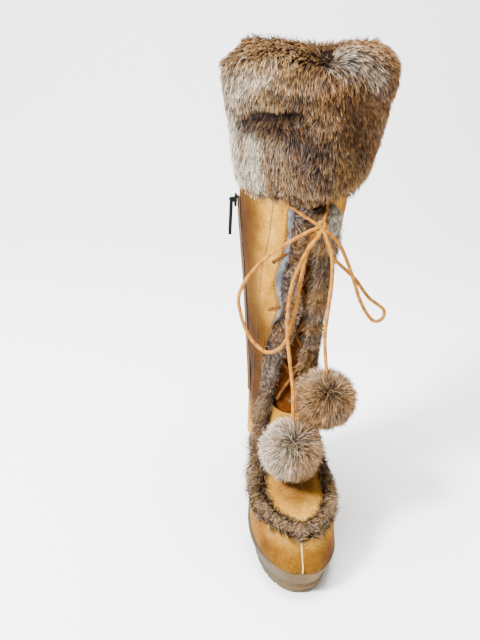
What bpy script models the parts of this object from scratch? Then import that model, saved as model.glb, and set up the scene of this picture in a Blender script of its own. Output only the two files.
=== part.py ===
"""Knee-high fur boot on a rubber wedge sole: a left boot, empty, standing on its sole.

Metres, +Z up, the toe towards -Y and the inner side of the leg towards -X.
The origin is on the floor, under the middle of the sole.
"""

from collections import namedtuple
from math import acos, asin, ceil, cos, pi, radians, sin

import bmesh
import bpy
import numpy as np
from mathutils import Matrix, Vector

# Sole
SOLE_LENGTH = 0.256
BALL_WIDTH = 0.092
HEEL_WIDTH = 0.068
PLATFORM = 0.027  # floor to foot bed under the ball
HEEL_HEIGHT = 0.060  # floor to foot bed under the heel
TOE_SPRING = 0.003
OUTSOLE = 0.0075
ARCH_RELIEF = 0.003
ARCH_FRONT = 0.53  # where the relief runs, as shares of the length from the toe
ARCH_BACK = 0.71
SHANK_FRONT = 0.45  # no lugs from here to the arch's end
LUG_DEPTH = 0.003
LUG_GROOVE = 0.0045
LUG_PITCH = 0.0145
LIP = 0.0028  # the ledge of the sole's top edge outside the upper
LIP_HEIGHT = 0.0035
SIDE_TAPER = 0.0075  # how far the wall runs in from top to bottom

# Upper
WALL = 0.0022
INSTEP_RISE = 0.115  # foot bed at the ball to the bend of the ankle
COLLAR_HEIGHT = 0.498
LEG_AXIS = 0.062
ANKLE_WIDTH = 0.072
ANKLE_DEPTH = 0.106
CALF_WIDTH = 0.109
CALF_DEPTH = 0.121
SINK = 0.008  # the sections run this far under the foot bed before they are cut
THROAT_WIDTH = 0.034
THROAT_FOOT = 0.134
GAP = 0.0003
INSOLE = 0.003
TONGUE = 0.0024
TONGUE_WIDTH = 0.054
TONGUE_DROP = 0.028  # the tongue ends this far below the collar
TONGUE_CLEAR = 0.0008  # room behind the upper's wall, whose inside is faceted
CUT_PAST = 0.030  # how far cutters run past what they cut

# Fur
CUFF_DROP = 0.139  # how far the fold hangs down over the shaft
CUFF_RISE = 0.014  # how far the fold stands above the collar
CUFF_REACH = 0.095  # how far its widest side stands out from the leg's axis
TRIM_WIDTH = 0.023
TRIM_HEIGHT = 0.010
FACING_FOOT = 0.178
FACING_INNER = (-0.018, -0.013)  # middle lines of the facings' fur, foot and top
FACING_OUTER = (0.017, 0.023)
FACING_TUCK = 0.010  # the facings end this far below the cuff, whose locks cover them
TRIM_CLEAR = 0.0006  # the fur's back sits this far off the suede, whose facets it crosses
LOCK = 0.005
POMPOM = 0.030

# Lace and zip
LACE = 0.0038
LACE_CLEAR = 0.0010  # between the crossings and the edges of the throat
KNOT = 0.0076
ZIP_WIDTH = 0.013
ZIP_TEETH = 0.0042
ZIP_FOOT = 0.170
SLIDER_DROP = 0.007  # the slider stands this far below the cuff
SLIDER_BODY = (0.0024, 0.0085, 0.0125)
SLIDER_STAND = 0.0088  # the pin stands this far out from the suede
EAR = (0.0052, 0.0012, 0.0040)
TAB_LENGTH = 0.037
TAB_WIDTH = 0.0056
TAB_THICK = 0.0034
TAB_SLANT = 0.005
EYE = 0.0025
EYE_CLEAR = 0.0004  # round the pin
PIN = 0.0011
ZIP_TAPE = 0.0008  # thickness of the cloth, and of the tape with its teeth
ZIP_STAND = 0.0020

MM = 0.001
TOE = -SOLE_LENGTH / 2
CUFF_BOTTOM = COLLAR_HEIGHT - CUFF_DROP
CUFF_TOP = COLLAR_HEIGHT + CUFF_RISE
SLIDER_HEIGHT = CUFF_BOTTOM - SLIDER_DROP
TONGUE_TOP = COLLAR_HEIGHT - TONGUE_DROP
RING_POINTS = 26
PLAN_STEPS = 22
rng = np.random.default_rng(7)

# The sole seen from above: place along it from the toe, middle line and half width.
# The middle line is a share of the ball's width; the half width is shares of ball and heel.
Plan = namedtuple("Plan", "along middle ball heel")
PLAN = (
    Plan(0.00, 0.012, 0.000, 0.000),
    Plan(0.03, 0.012, 0.222, 0.000),
    Plan(0.09, 0.014, 0.343, 0.000),
    Plan(0.18, 0.018, 0.440, 0.000),
    Plan(0.28, 0.020, 0.484, 0.000),
    Plan(0.38, 0.022, 0.488, 0.000),
    Plan(0.50, 0.018, 0.330, 0.150),
    Plan(0.64, 0.008, 0.120, 0.350),
    Plan(0.80, 0.000, 0.000, 0.500),
    Plan(0.90, 0.000, 0.000, 0.430),
    Plan(0.97, 0.000, 0.000, 0.250),
    Plan(1.00, 0.000, 0.000, 0.000),
)

# Upright sections of the foot, toe to instep: where each one meets the top line and the bed,
# its height as a share of the instep's rise, and how square its crown and its lower corners are.
Foot = namedtuple("Foot", "front rise back crown corner")
FOOT = (
    Foot(0.010, 0.100, 0.010, 2.6, 4.0),
    Foot(0.026, 0.170, 0.024, 2.5, 4.0),
    Foot(0.058, 0.235, 0.054, 2.4, 4.2),
    Foot(0.110, 0.292, 0.105, 2.3, 4.4),
    Foot(0.180, 0.345, 0.172, 2.2, 4.6),
    Foot(0.260, 0.402, 0.256, 2.1, 4.6),
    Foot(0.335, 0.474, 0.360, 2.0, 4.4),
    Foot(0.405, 0.568, 0.475, 2.0, 4.0),
    Foot(0.462, 0.700, 0.610, 2.0, 3.6),
    Foot(0.500, 0.850, 0.785, 2.0, 3.4),
)

# Sections of the shaft, heel to collar: heights of its front and back as shares of the shaft,
# what the front and the heel stand out as shares of the sole's length, the swell from
# ankle (0) to calf (1), and the lean to the inner side as a share of the calf's width.
Shaft = namedtuple("Shaft", "front back shin heel swell lean corner")
SHAFT = (
    Shaft(0.000, -0.258, 0.020, 0.010, -0.03, -0.005, 3.0),
    Shaft(0.050, -0.180, 0.008, 0.034, -0.02, -0.015, 2.6),
    Shaft(0.100, -0.085, 0.002, 0.026, 0.00, -0.022, 2.3),
    Shaft(0.155, 0.030, 0.000, 0.006, 0.08, -0.034, 2.1),
    Shaft(0.235, 0.185, 0.000, 0.000, 0.24, -0.046, 2.1),
    Shaft(0.335, 0.325, 0.000, 0.000, 0.45, -0.050, 2.1),
    Shaft(0.455, 0.455, 0.000, 0.000, 0.75, -0.050, 2.1),
    Shaft(0.580, 0.580, 0.000, 0.000, 1.02, -0.050, 2.1),
    Shaft(0.780, 0.780, 0.000, 0.000, 1.30, -0.040, 2.1),
    Shaft(1.000, 1.000, 0.000, 0.000, 1.40, -0.030, 2.1),
)

# The cuff, bottom to top: height as a share of its drop, and its reach to the inner, outer,
# front and back sides as shares of the reach of its widest side.
Cuff = namedtuple("Cuff", "height inner outer front back")
CUFF = (
    Cuff(-0.03, 0.52, 0.48, 0.60, 0.60),
    Cuff(0.00, 0.64, 0.58, 0.76, 0.78),
    Cuff(0.09, 0.68, 0.62, 0.82, 0.83),
    Cuff(0.22, 0.74, 0.69, 0.86, 0.88),
    Cuff(0.42, 0.79, 0.79, 0.88, 0.90),
    Cuff(0.62, 0.85, 0.87, 0.89, 0.91),
    Cuff(0.80, 0.90, 0.92, 0.88, 0.91),
    Cuff(0.93, 0.86, 0.89, 0.80, 0.85),
    Cuff(1.00, 0.73, 0.76, 0.68, 0.73),
)
CUFF_NOTCH = 0.008  # the dip where its two ends meet at the front
CUFF_LIFT = 0.010  # how much higher its lower edge is on the outer side

# The fur round the apron: section of the upper that it crosses, and how far out from the
# crest it lies there, as a share of the section's half width.
Trim = namedtuple("Trim", "section side")
APRON = (
    Trim(11.5, 0.52),
    Trim(10.0, 0.70),
    Trim(8.8, 0.80),
    Trim(7.5, 0.84),
    Trim(6.0, 0.84),
    Trim(4.8, 0.79),
    Trim(3.8, 0.62),
    Trim(3.00, 0.34),
    Trim(2.70, 0.00),
)

# Heights of the pairs of eyelets, bottom to top
EYELETS = (0.152, 0.199, 0.249, 0.302)

# Routes of the free lace, in millimetres, from the knot
KNOT_AT = (12, -17, 344)
LOOP_LEFT = (
    (3.5, -19, 342), (-6, -19.5, 337), (-22, -17, 326), (-38, -9, 311), (-49, -3, 296),
    (-57, 1, 282), (-62, 4, 264), (-59, 3, 247), (-53, 0, 231), (-42, -3, 216),
    (-31, -8, 210), (-20, -13, 216), (-12.5, -15, 229), (-8, -15, 249), (-5.5, -15, 272),
    (-3, -15, 297), (0.5, -15, 320), (5, -14.5, 335),
)
END_LEFT = (
    (9.5, -21.7, 337.8), (0, -24, 325), (-8, -23, 306), (-13, -21, 286), (-14.5, -20.5, 268),
    (-14.5, -21, 246), (-12.5, -22, 226), (-9, -24, 204), (-5, -30, 177), (-4, -38.5, 145.8),
)
LOOP_RIGHT = (
    (18.5, -20, 339.5), (23, -18.5, 336), (30.3, -16.5, 328.1), (37.9, -14, 315.6),
    (44.4, -11, 302.7), (50.5, -8, 289.5), (54.7, -5, 280.3), (58.7, -2, 270.9), (63.5, 1, 261.9),
    (69.6, 4, 252.2), (77, 6.5, 243.7), (83.5, 8, 240.2), (88.6, 9, 241.8), (89.9, 10, 246.5),
    (86.4, 10.5, 252.2), (80.6, 10.5, 258), (74.5, 10, 264), (68.1, 8.5, 270.7), (62.1, 6.5, 278.3),
    (56.1, 4, 285.8), (48, 0.5, 293.5), (38.5, -6, 302), (31, -11.5, 308.8), (22, -13.5, 320),
    (16.5, -14, 335.5),
)
END_RIGHT = (
    (14.6, -22.3, 338.2), (21, -24, 325), (25, -20.5, 308), (26.5, -18.5, 287), (25.5, -18.5, 259),
    (24.5, -19.5, 237), (26, -22, 216), (29.5, -22.5, 193.9),
)
POMPOM_LEFT_AT = (-4, -42, 117)
POMPOM_RIGHT_AT = (31, -21.5, 165)


def clear_scene():
    for old in list(bpy.data.objects):
        bpy.data.objects.remove(old, do_unlink=True)


def finish_material(name, colour, roughness, metallic=0.0):
    """A Principled BSDF of one sRGB colour, given as hex."""
    material = bpy.data.materials.new(name)
    material.use_nodes = True
    channels = [int(colour[i:i + 2], 16) / 255 for i in (0, 2, 4)]
    linear = [c / 12.92 if c <= 0.04045 else ((c + 0.055) / 1.055) ** 2.4 for c in channels]
    shader = material.node_tree.nodes["Principled BSDF"]
    shader.inputs["Base Color"].default_value = (*linear, 1)
    shader.inputs["Roughness"].default_value = roughness
    shader.inputs["Metallic"].default_value = metallic
    material.diffuse_color = (*linear, 1)
    return material


def add_object(name, data, material=None):
    made = bpy.data.objects.new(name, data)
    bpy.context.collection.objects.link(made)
    if material:
        data.materials.append(material)
    else:
        made.hide_render = True
        made.display_type = "WIRE"
    return made


def add_mesh(name, bm, material=None, crease=radians(40)):
    """Closes a bmesh into an object; without a material it is a cutter."""
    bmesh.ops.recalc_face_normals(bm, faces=bm.faces)
    mesh = bpy.data.meshes.new(name)
    bm.to_mesh(mesh)
    bm.free()
    mesh.shade_smooth()
    mesh.set_sharp_from_angle(angle=crease)
    return add_object(name, mesh, material)


def boolean(target, operation, *tools, crossing=False):
    """Boolean modifiers in turn; crossing where the target's locks may cut into each other."""
    for tool in tools:
        modifier = target.modifiers.new(tool.name, "BOOLEAN")
        modifier.operation = operation
        modifier.solver = "EXACT"
        modifier.use_self = crossing
        modifier.object = tool


def smooth(keys, values, at):
    """A smooth curve through values at keys."""
    keys, values = np.asarray(keys, float), np.asarray(values, float)
    slopes = np.gradient(values, keys)
    at = min(max(at, keys[0]), keys[-1])
    i = min(int(np.searchsorted(keys, at, side="right")) - 1, len(keys) - 2)
    span = keys[i + 1] - keys[i]
    t = (at - keys[i]) / span
    start = (1 + 2 * t) * (1 - t) ** 2 * values[i] + t * (1 - t) ** 2 * span * slopes[i]
    end = t * t * (3 - 2 * t) * values[i + 1] + t * t * (t - 1) * span * slopes[i + 1]
    return float(start + end)


def ease(low, high, at):
    t = min(max((at - low) / (high - low), 0), 1)
    return t * t * (3 - 2 * t)


def loft(rings, wrap=False):
    """A skin over rings of equally many points, with flat ends unless it wraps round."""
    bm = bmesh.new()
    rows = [[bm.verts.new(point) for point in ring] for ring in rings]
    count = len(rows[0])
    pairs = list(zip(rows, rows[1:] + rows[:1] if wrap else rows[1:]))
    skin = []
    for low, high in pairs:
        for k in range(count):
            n = (k + 1) % count
            skin.append(bm.faces.new((low[k], low[n], high[n], high[k])))
    if not wrap:
        for row in (rows[0], rows[-1]):
            cap = bm.faces.new(row)
            bmesh.ops.poke(bm, faces=[cap])
    bmesh.ops.recalc_face_normals(bm, faces=bm.faces)
    return bm, skin


def add_locks(bm, faces, reach, lay):
    """Draws faces out to pointed locks of fur that lie over along lay."""
    poked = bmesh.ops.poke(bm, faces=faces, offset=reach)
    for tip in poked["verts"]:
        tip.co += Vector(lay) * rng.uniform(0.6, 1.3)


# The sole's plan and its two heights


def plan_turn(along):
    return acos(1 - 2 * along)


PLAN_TURNS = [plan_turn(row.along) for row in PLAN]


def plan_sides(along, inset=0.0):
    """Inner and outer edge of the sole at a share of its length."""
    turn = plan_turn(along)
    middle = BALL_WIDTH * smooth(PLAN_TURNS, [row.middle for row in PLAN], turn)
    halves = [BALL_WIDTH * row.ball + HEEL_WIDTH * row.heel for row in PLAN]
    half = smooth(PLAN_TURNS, halves, turn) * (1 - 2 * inset / BALL_WIDTH)
    return middle - half, middle + half


def bed(y):
    """Height of the foot bed: spring at the toe, flat at the ball, up to the heel."""
    along = (y - TOE) / SOLE_LENGTH
    spring = TOE_SPRING * (1 - ease(0.0, 0.24, along))
    return PLATFORM + spring + (HEEL_HEIGHT - PLATFORM) * ease(0.34, 0.86, along)


def tread(y):
    """Height of the sole's underside: flat at forefoot and heel."""
    along = (y - TOE) / SOLE_LENGTH
    spring = TOE_SPRING * (1 - ease(0.0, 0.17, along))
    arch = ARCH_RELIEF * ease(ARCH_FRONT, ARCH_FRONT + 0.06, along)
    return spring + arch * (1 - ease(ARCH_BACK - 0.06, ARCH_BACK, along))


def sole_ring(inset, height):
    """The sole's outline drawn in by inset, at height(y), from toe to heel and back."""
    stations = [0.5 * (1 - cos(pi * k / PLAN_STEPS)) for k in range(PLAN_STEPS + 1)]
    shrink = 1 - 2 * inset / SOLE_LENGTH
    outer, inner = [], []
    for along in stations:
        y = (TOE + along * SOLE_LENGTH) * shrink
        left, right = plan_sides(along, inset)
        outer.append(Vector((right, y, height(y))))
        inner.append(Vector((left, y, height(y))))
    return outer + inner[-2:0:-1]


def sole_block(levels):
    """A slab over outlines of the sole, each with its inset and height, low to high."""
    bm = bmesh.new()
    rows = [[bm.verts.new(p) for p in sole_ring(inset, height)] for inset, height in levels]
    count = len(rows[0])
    for low, high in zip(rows, rows[1:]):
        for k in range(count):
            n = (k + 1) % count
            bm.faces.new((low[k], low[n], high[n], high[k]))
    for row in (rows[0], rows[-1]):
        for k in range(PLAN_STEPS):
            corners = [row[k], row[k + 1], row[-k - 1], row[-k]]
            bm.faces.new(list(dict.fromkeys(corners)))
    return bm


# The upper's own surface


def foot_section(row):
    y, back = TOE + row.front * SOLE_LENGTH, TOE + row.back * SOLE_LENGTH
    left, right = plan_sides(row.back)
    inner, outer = left + LIP, right - LIP
    return [y, PLATFORM + TOE_SPRING * (1 - ease(0, 0.24, row.front)) + row.rise * INSTEP_RISE,
            back, bed(back) - SINK, inner, outer, row.crown, row.corner]


def shaft_section(row):
    bend = PLATFORM + INSTEP_RISE
    length = COLLAR_HEIGHT - bend
    depth = ANKLE_DEPTH + row.swell * (CALF_DEPTH - ANKLE_DEPTH)
    width = ANKLE_WIDTH + row.swell * (CALF_WIDTH - ANKLE_WIDTH)
    lean = row.lean * CALF_WIDTH
    return [LEG_AXIS - depth / 2 - row.shin * SOLE_LENGTH, bend + row.front * length,
            LEG_AXIS + depth / 2 + row.heel * SOLE_LENGTH, bend + row.back * length,
            lean - width / 2, lean + width / 2, 2.1, row.corner]


SECTIONS = np.array([foot_section(row) for row in FOOT] + [shaft_section(row) for row in SHAFT])
LAST_SECTION = len(SECTIONS) - 1
ANKLE_SECTION = len(FOOT) + 4
# The skin is drawn through every half section round the foot and every whole one up the leg
SKIN_STEPS = [k / 2 for k in range(2 * ANKLE_SECTION)] + list(range(ANKLE_SECTION, LAST_SECTION + 1))


def section(at):
    return [smooth(range(len(SECTIONS)), SECTIONS[:, k], at) for k in range(SECTIONS.shape[1])]


def power(value, square):
    return (1 if value >= 0 else -1) * abs(value) ** (2 / square)


def skin_point(at, turn, inset=0.0):
    """A point of the upper's surface: turn 0 is its front line, pi/2 the outer side."""
    front_y, front_z, back_y, back_z, inner, outer, crown, corner = section(at)
    front, back = Vector((0, front_y, front_z)), Vector((0, back_y, back_z))
    up = (front - back).normalized()
    square = crown if cos(turn) >= 0 else corner
    middle, half = (inner + outer) / 2, (outer - inner) / 2
    point = (front + back) / 2 + up * ((front - back).length / 2 - inset) * power(cos(turn), square)
    point.x = middle + (half - inset) * power(sin(turn), square)
    point.y += inset * max(0.0, 1 - at)
    return point


def skin_ring(at, inset=0.0):
    return [skin_point(at, 2 * pi * k / RING_POINTS, inset) for k in range(RING_POINTS)]


def turn_to(at, x, inset=0.0):
    """The turn at which the front of a section reaches sideways to x."""
    inner, outer, crown = section(at)[4:7]
    share = (x - (inner + outer) / 2) / ((outer - inner) / 2 - inset)
    return (1 if share >= 0 else -1) * asin(min(abs(share), 1) ** (crown / 2))


def section_at_height(z):
    """The section whose front line is at height z."""
    low, high = 0.0, float(LAST_SECTION)
    for _ in range(40):
        middle = (low + high) / 2
        low, high = (middle, high) if section(middle)[1] < z else (low, middle)
    return low


def front_point(x, z, inset=0.0):
    at = section_at_height(z)
    return skin_point(at, turn_to(at, x, inset), inset)


def last_solid(name, inset, top=0.0):
    """The form inside the upper, drawn in by inset and raised past the collar by top."""
    rings = [skin_ring(at, inset) for at in SKIN_STEPS]
    if top:
        rings.append([point + Vector((0, 0, top)) for point in rings[-1]])
    bm, _ = loft(rings)
    return add_mesh(name, bm)


def bed_cutter(name, clearance):
    """All that lies under the foot bed."""
    steps, length = 40, SOLE_LENGTH + 2 * CUT_PAST
    ys = [-length / 2 + k * length / steps for k in range(steps + 1)]
    rings = [[Vector((x, y, z)) for x, z in (
        (-BALL_WIDTH, bed(y) + clearance), (BALL_WIDTH, bed(y) + clearance),
        (BALL_WIDTH, -CUT_PAST), (-BALL_WIDTH, -CUT_PAST))] for y in ys]
    bm, _ = loft(rings)
    return add_mesh(name, bm)


def make_outsole(material):
    """Rubber tread: lugs left standing between grooves cut from its underside."""
    bm = sole_block((
        (SIDE_TAPER + 0.0006, tread),
        (SIDE_TAPER, lambda y: tread(y) + 0.4 * OUTSOLE),
        (SIDE_TAPER - 0.0006, lambda y: tread(y) + OUTSOLE),
    ))
    outsole = add_mesh("outsole", bm, material)
    grooves = bmesh.new()
    reach = SOLE_LENGTH / 2 - 0.5 * LUG_PITCH
    count = int(2 * reach / LUG_PITCH)
    for k in range(count + 1):
        y = -reach + k * LUG_PITCH
        if SHANK_FRONT < (y - TOE) / SOLE_LENGTH < ARCH_BACK:
            continue
        size = Matrix.Diagonal((2 * BALL_WIDTH, LUG_GROOVE, 2 * LUG_DEPTH, 1))
        place = Matrix.Translation((0, y, tread(y)))
        bmesh.ops.create_cube(grooves, size=1, matrix=place @ size)
    boolean(outsole, "DIFFERENCE", add_mesh("lug_grooves", grooves))
    return outsole


def make_midsole(material):
    """Platform and wedge: its wall runs in towards the floor under a lip round the top."""
    low = OUTSOLE + GAP
    share = 0.5

    def level(part):
        return lambda y: tread(y) + low + part * (bed(y) - tread(y) - low)

    bm = sole_block((
        (SIDE_TAPER - 0.0006, level(0)),
        (SIDE_TAPER * share, level(0.55)),
        (0.0014, lambda y: bed(y) - LIP_HEIGHT - 0.0004),
        (0.0, lambda y: bed(y) - LIP_HEIGHT),
        (0.0, bed),
    ))
    return add_mesh("midsole", bm, material)


def make_upper(material):
    """One hollow suede shell: the last's skin with its wall, cut at bed and throat."""
    bm, _ = loft([skin_ring(at) for at in SKIN_STEPS])
    upper = add_mesh("upper", bm, material)
    half = THROAT_WIDTH / 2
    outline = [Vector((half * cos(a), 0, THROAT_FOOT + half + half * sin(a)))
               for a in (pi + pi * k / 8 for k in range(9))]
    above = COLLAR_HEIGHT + CUT_PAST
    outline += [Vector((half, 0, above)), Vector((-half, 0, above))]
    front, middle = LEG_AXIS - CALF_DEPTH - CUT_PAST, LEG_AXIS - CUT_PAST
    slot, _ = loft([[p + Vector((0, y, 0)) for p in outline] for y in (front, middle)])
    boolean(upper, "DIFFERENCE", last_solid("last", WALL, top=CUT_PAST),
            bed_cutter("under_bed", GAP), add_mesh("throat", slot))
    return upper


def make_insole(material):
    """A sock of board and lining that lies on the bed, inside the upper."""
    slab = sole_block(((0.0, lambda y: bed(y) + GAP), (0.0, lambda y: bed(y) + GAP + INSOLE)))
    insole = add_mesh("insole", slab, material)
    boolean(insole, "INTERSECT", last_solid("last_clear", WALL + 2 * GAP))
    return insole


def make_tongue(material):
    """A suede strip behind the throat, curved as the upper's front is."""
    first, last = len(FOOT) - 0.5, section_at_height(TONGUE_TOP)
    across, rings = 3, []
    for at in [step for step in SKIN_STEPS if first <= step < last] + [last]:
        height = section(at)[1]
        open_share = ease(THROAT_FOOT - 0.004, THROAT_FOOT + 0.012, height)
        closing = 1 - ease(EYELETS[-1] + 0.06, EYELETS[-1] + 0.09, height)
        inset = WALL + TONGUE_CLEAR + (LACE - TONGUE_CLEAR - 2 * GAP) * open_share * closing
        xs = [TONGUE_WIDTH / 2 * j / across for j in range(-across, across + 1)]
        outside = [skin_point(at, turn_to(at, x, inset), inset) for x in xs]
        deep = inset + TONGUE
        inside = [skin_point(at, turn_to(at, x, deep), deep) for x in reversed(xs)]
        rings.append(outside + inside)
    bm, _ = loft(rings)
    return add_mesh("tongue", bm, material)


def fur_strip(name, route, material, lay, envelope):
    """A rounded strip of fur with locks, laid along a route on the upper and cut to it."""
    count, around = len(route), 8
    rings = []
    for k, (centre, out) in enumerate(route):
        ahead = route[min(k + 1, count - 1)][0] - route[max(k - 1, 0)][0]
        side = ahead.cross(out).normalized()
        end = 0.55 if k in (0, count - 1) else 1
        wide, high = end * TRIM_WIDTH / 2, end * TRIM_HEIGHT
        rings.append([centre + side * wide * cos(2 * pi * j / around)
                      + out * high * sin(2 * pi * j / around) for j in range(around)])
    bm, skin = loft(rings)
    outer = [face for face in skin if face_out(face, route) > 0.15]
    add_locks(bm, outer, LOCK * 0.7, lay)
    strip = add_mesh(name, bm, material)
    boolean(strip, "DIFFERENCE", envelope, crossing=True)
    return strip


def face_out(face, route):
    """How far a face of a strip looks away from the upper, from -1 to 1."""
    place = face.calc_center_median()
    out = min(route, key=lambda step: (step[0] - place).length)[1]
    return face.normal.dot(out)


def skin_frame(at, turn):
    """A point of the skin and the way out of it."""
    point = skin_point(at, turn)
    along = skin_point(at + 0.05, turn) - skin_point(at - 0.05, turn)
    around = skin_point(at, turn + 0.05) - skin_point(at, turn - 0.05)
    out = around.cross(along).normalized()
    front_y, front_z, back_y, back_z, inner, outer = section(at)[:6]
    inside = Vector(((inner + outer) / 2, (front_y + back_y) / 2, (front_z + back_z) / 2))
    return point, out if out.dot(point - inside) > 0 else -out


def apron_route():
    """From the throat's inner side down round the toe and up its outer side."""
    keys = range(len(APRON))
    half = []
    steps = 12
    for k in range(steps + 1):
        at = (len(APRON) - 1) * k / steps
        row = smooth(keys, [r.section for r in APRON], at)
        side = smooth(keys, [r.side for r in APRON], at)
        half.append((row, side))
    places = [(row, -side) for row, side in half] + [(row, side) for row, side in half[-2::-1]]
    route = []
    for row, side in places:
        square = section(row)[6]
        turn = (1 if side >= 0 else -1) * asin(abs(side) ** (square / 2))
        route.append(skin_frame(row, turn))
    return route


def facing_route(low_x, high_x, steps=15):
    """Up one edge of the throat, from the apron's fur to the cuff."""
    route = []
    for k in range(steps + 1):
        up = k / steps
        at = section_at_height(FACING_FOOT + (CUFF_BOTTOM - FACING_TUCK - FACING_FOOT) * up)
        route.append(skin_frame(at, turn_to(at, low_x + (high_x - low_x) * up)))
    return route


def make_cuff(material, envelope):
    """A deep fur cuff folded down over the collar, open in the middle."""
    around = 40
    drop = CUFF_TOP - CUFF_BOTTOM
    notch_turn, notch_width = 0.12, 0.3
    rings = []
    for row in CUFF:
        ring = []
        for k in range(around):
            turn = 2 * pi * k / around
            side = row.outer if sin(turn) >= 0 else row.inner
            deep = row.front if cos(turn) >= 0 else row.back
            wave = 1 + 0.02 * sin(5 * turn + 3 * row.height) + 0.015 * sin(9 * turn)
            x = CUFF_REACH * side * sin(turn) * wave
            y = LEG_AXIS - CUFF_REACH * deep * cos(turn) * wave
            off = abs((turn - notch_turn + pi) % (2 * pi) - pi)
            dip = CUFF_NOTCH * max(0.0, 1 - off / notch_width) * ease(0.5, 1.0, row.height)
            lift = CUFF_LIFT * max(0.0, sin(turn)) * (1 - max(row.height, 0))
            ring.append(Vector((x, y + dip, CUFF_BOTTOM + drop * row.height - dip + lift)))
        rings.append(ring)
    bm, skin = loft(rings)
    locks = [face for face in skin if abs(face.normal.z) < 0.8]
    add_locks(bm, locks, LOCK, (0, 0, -LOCK))
    cuff = add_mesh("fur_cuff", bm, material)
    bore = [skin_ring(at, WALL) for at in SKIN_STEPS[-4:]]
    bore.append([point + Vector((0, 0, CUFF_RISE + CUT_PAST)) for point in bore[-1]])
    opening, _ = loft(bore)
    boolean(cuff, "DIFFERENCE", envelope, add_mesh("cuff_bore", opening))
    return cuff


def tube(path, radius, sides=6):
    """A round tube along points, turned as little as it can be from one to the next."""
    rings, side = [], None
    for k, point in enumerate(path):
        ahead = (path[min(k + 1, len(path) - 1)] - path[max(k - 1, 0)]).normalized()
        side = ahead.orthogonal() if side is None else side - ahead * side.dot(ahead)
        side.normalize()
        up = ahead.cross(side)
        rings.append([point + (side * cos(a) + up * sin(a)) * radius
                      for a in (2 * pi * j / sides for j in range(sides))])
    bm, _ = loft(rings)
    return bm


def make_crossings(material):
    """Two runs of lace that zigzag over the tongue and meet where they cross."""
    half = THROAT_WIDTH / 2 - LACE / 2 - LACE_CLEAR
    depth = LACE / 2 + GAP
    top_shift, top_heights = 0.0045, (0.014, 0.026)  # the runs pass between the facings' fur
    runs = []
    for first in (-1, 1):
        corners = [(first * (-1) ** k * half, z) for k, z in enumerate(EYELETS)]
        path = []
        for (x, z), (next_x, next_z) in zip(corners, corners[1:]):
            for t in (0, 0.25, 0.5, 0.75):
                path.append(front_point(x + (next_x - x) * t, z + (next_z - z) * t, depth))
        x, z = corners[-1]
        path.append(front_point(x, z, depth))
        path.append(front_point(0.35 * x + top_shift, z + top_heights[0], depth))
        path.append(front_point(0.1 * x + top_shift, z + top_heights[1], -0.8 * LACE))
        path.append(Vector(KNOT_AT) * MM + Vector((first * 0.001 - 0.002, 0.004, -0.83 * KNOT)))
        runs.append(tube(path, LACE / 2))
    crossings = add_mesh("lace_crossings", runs[0], material)
    boolean(crossings, "UNION", add_mesh("lace_second_run", runs[1]))
    return crossings


def make_knot(material):
    bm = bmesh.new()
    shape = Matrix.Diagonal((1.05, 0.8, 0.95, 1))
    bmesh.ops.create_icosphere(bm, subdivisions=2, radius=KNOT,
                               matrix=Matrix.Translation(Vector(KNOT_AT) * MM) @ shape)
    return add_mesh("lace_knot", bm, material)


def make_cord(name, route, material):
    """A free run of lace: a curve through its route's points."""
    points = [Vector(p) * MM for p in route]
    keys = [0.0]
    for a, b in zip(points, points[1:]):
        keys.append(keys[-1] + (b - a).length)
    count = max(ceil(keys[-1] / (3 * LACE)), 3)
    curve = bpy.data.curves.new(name, "CURVE")
    curve.dimensions = "3D"
    curve.bevel_depth = LACE / 2
    curve.bevel_resolution = 2
    curve.use_fill_caps = True
    spline = curve.splines.new("POLY")
    spline.points.add(count)
    for k in range(count + 1):
        at = keys[-1] * k / count
        place = [smooth(keys, [p[axis] for p in points], at) for axis in range(3)]
        spline.points[k].co = (*place, 1)
    return add_object(name, curve, material)


def make_pompom(name, centre, material):
    """A ball of fur with a pointed lock drawn out of each of its faces."""
    bm = bmesh.new()
    bmesh.ops.create_icosphere(bm, subdivisions=2, radius=POMPOM - 0.4 * LOCK,
                               matrix=Matrix.Translation(Vector(centre) * MM))
    add_locks(bm, list(bm.faces), 0.7 * LOCK, (0, 0, -0.2 * LOCK))
    return add_mesh(name, bm, material)


ZIP_TURN = -pi / 2  # the zip stands on the inner side


def make_zip_tape(material):
    """The zip on the inner side: flat tapes with the row of teeth standing between them."""
    low, high = section_at_height(ZIP_FOOT), section_at_height(SLIDER_HEIGHT + ZIP_TEETH)
    rings = []
    half, teeth = ZIP_WIDTH / 2, ZIP_TEETH / 2
    profile = ((-half, 0), (-half, ZIP_TAPE), (-teeth, ZIP_TAPE), (-0.8 * teeth, ZIP_STAND),
               (0.8 * teeth, ZIP_STAND), (teeth, ZIP_TAPE), (half, ZIP_TAPE), (half, 0))
    steps = 16
    for k in range(steps + 1):
        at = low + (high - low) * k / steps
        point, out = skin_frame(at, ZIP_TURN)
        along = (skin_point(at + 0.05, ZIP_TURN) - skin_point(at - 0.05, ZIP_TURN)).normalized()
        side = out.cross(along)
        rings.append([point + side * across + out * (TRIM_CLEAR + height) for across, height in profile])
    bm, _ = loft(rings)
    return add_mesh("zip_tape", bm, material)


def pull_axis():
    """Where the pull tab's pin stands: out from the zip's top."""
    at = section_at_height(SLIDER_HEIGHT)
    point = skin_point(at, ZIP_TURN)
    return Vector((point.x - SLIDER_STAND, point.y, point.z))


def box(bm, centre, size):
    bmesh.ops.create_cube(bm, size=1, matrix=Matrix.Translation(centre) @ Matrix.Diagonal((*size, 1)))


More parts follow.
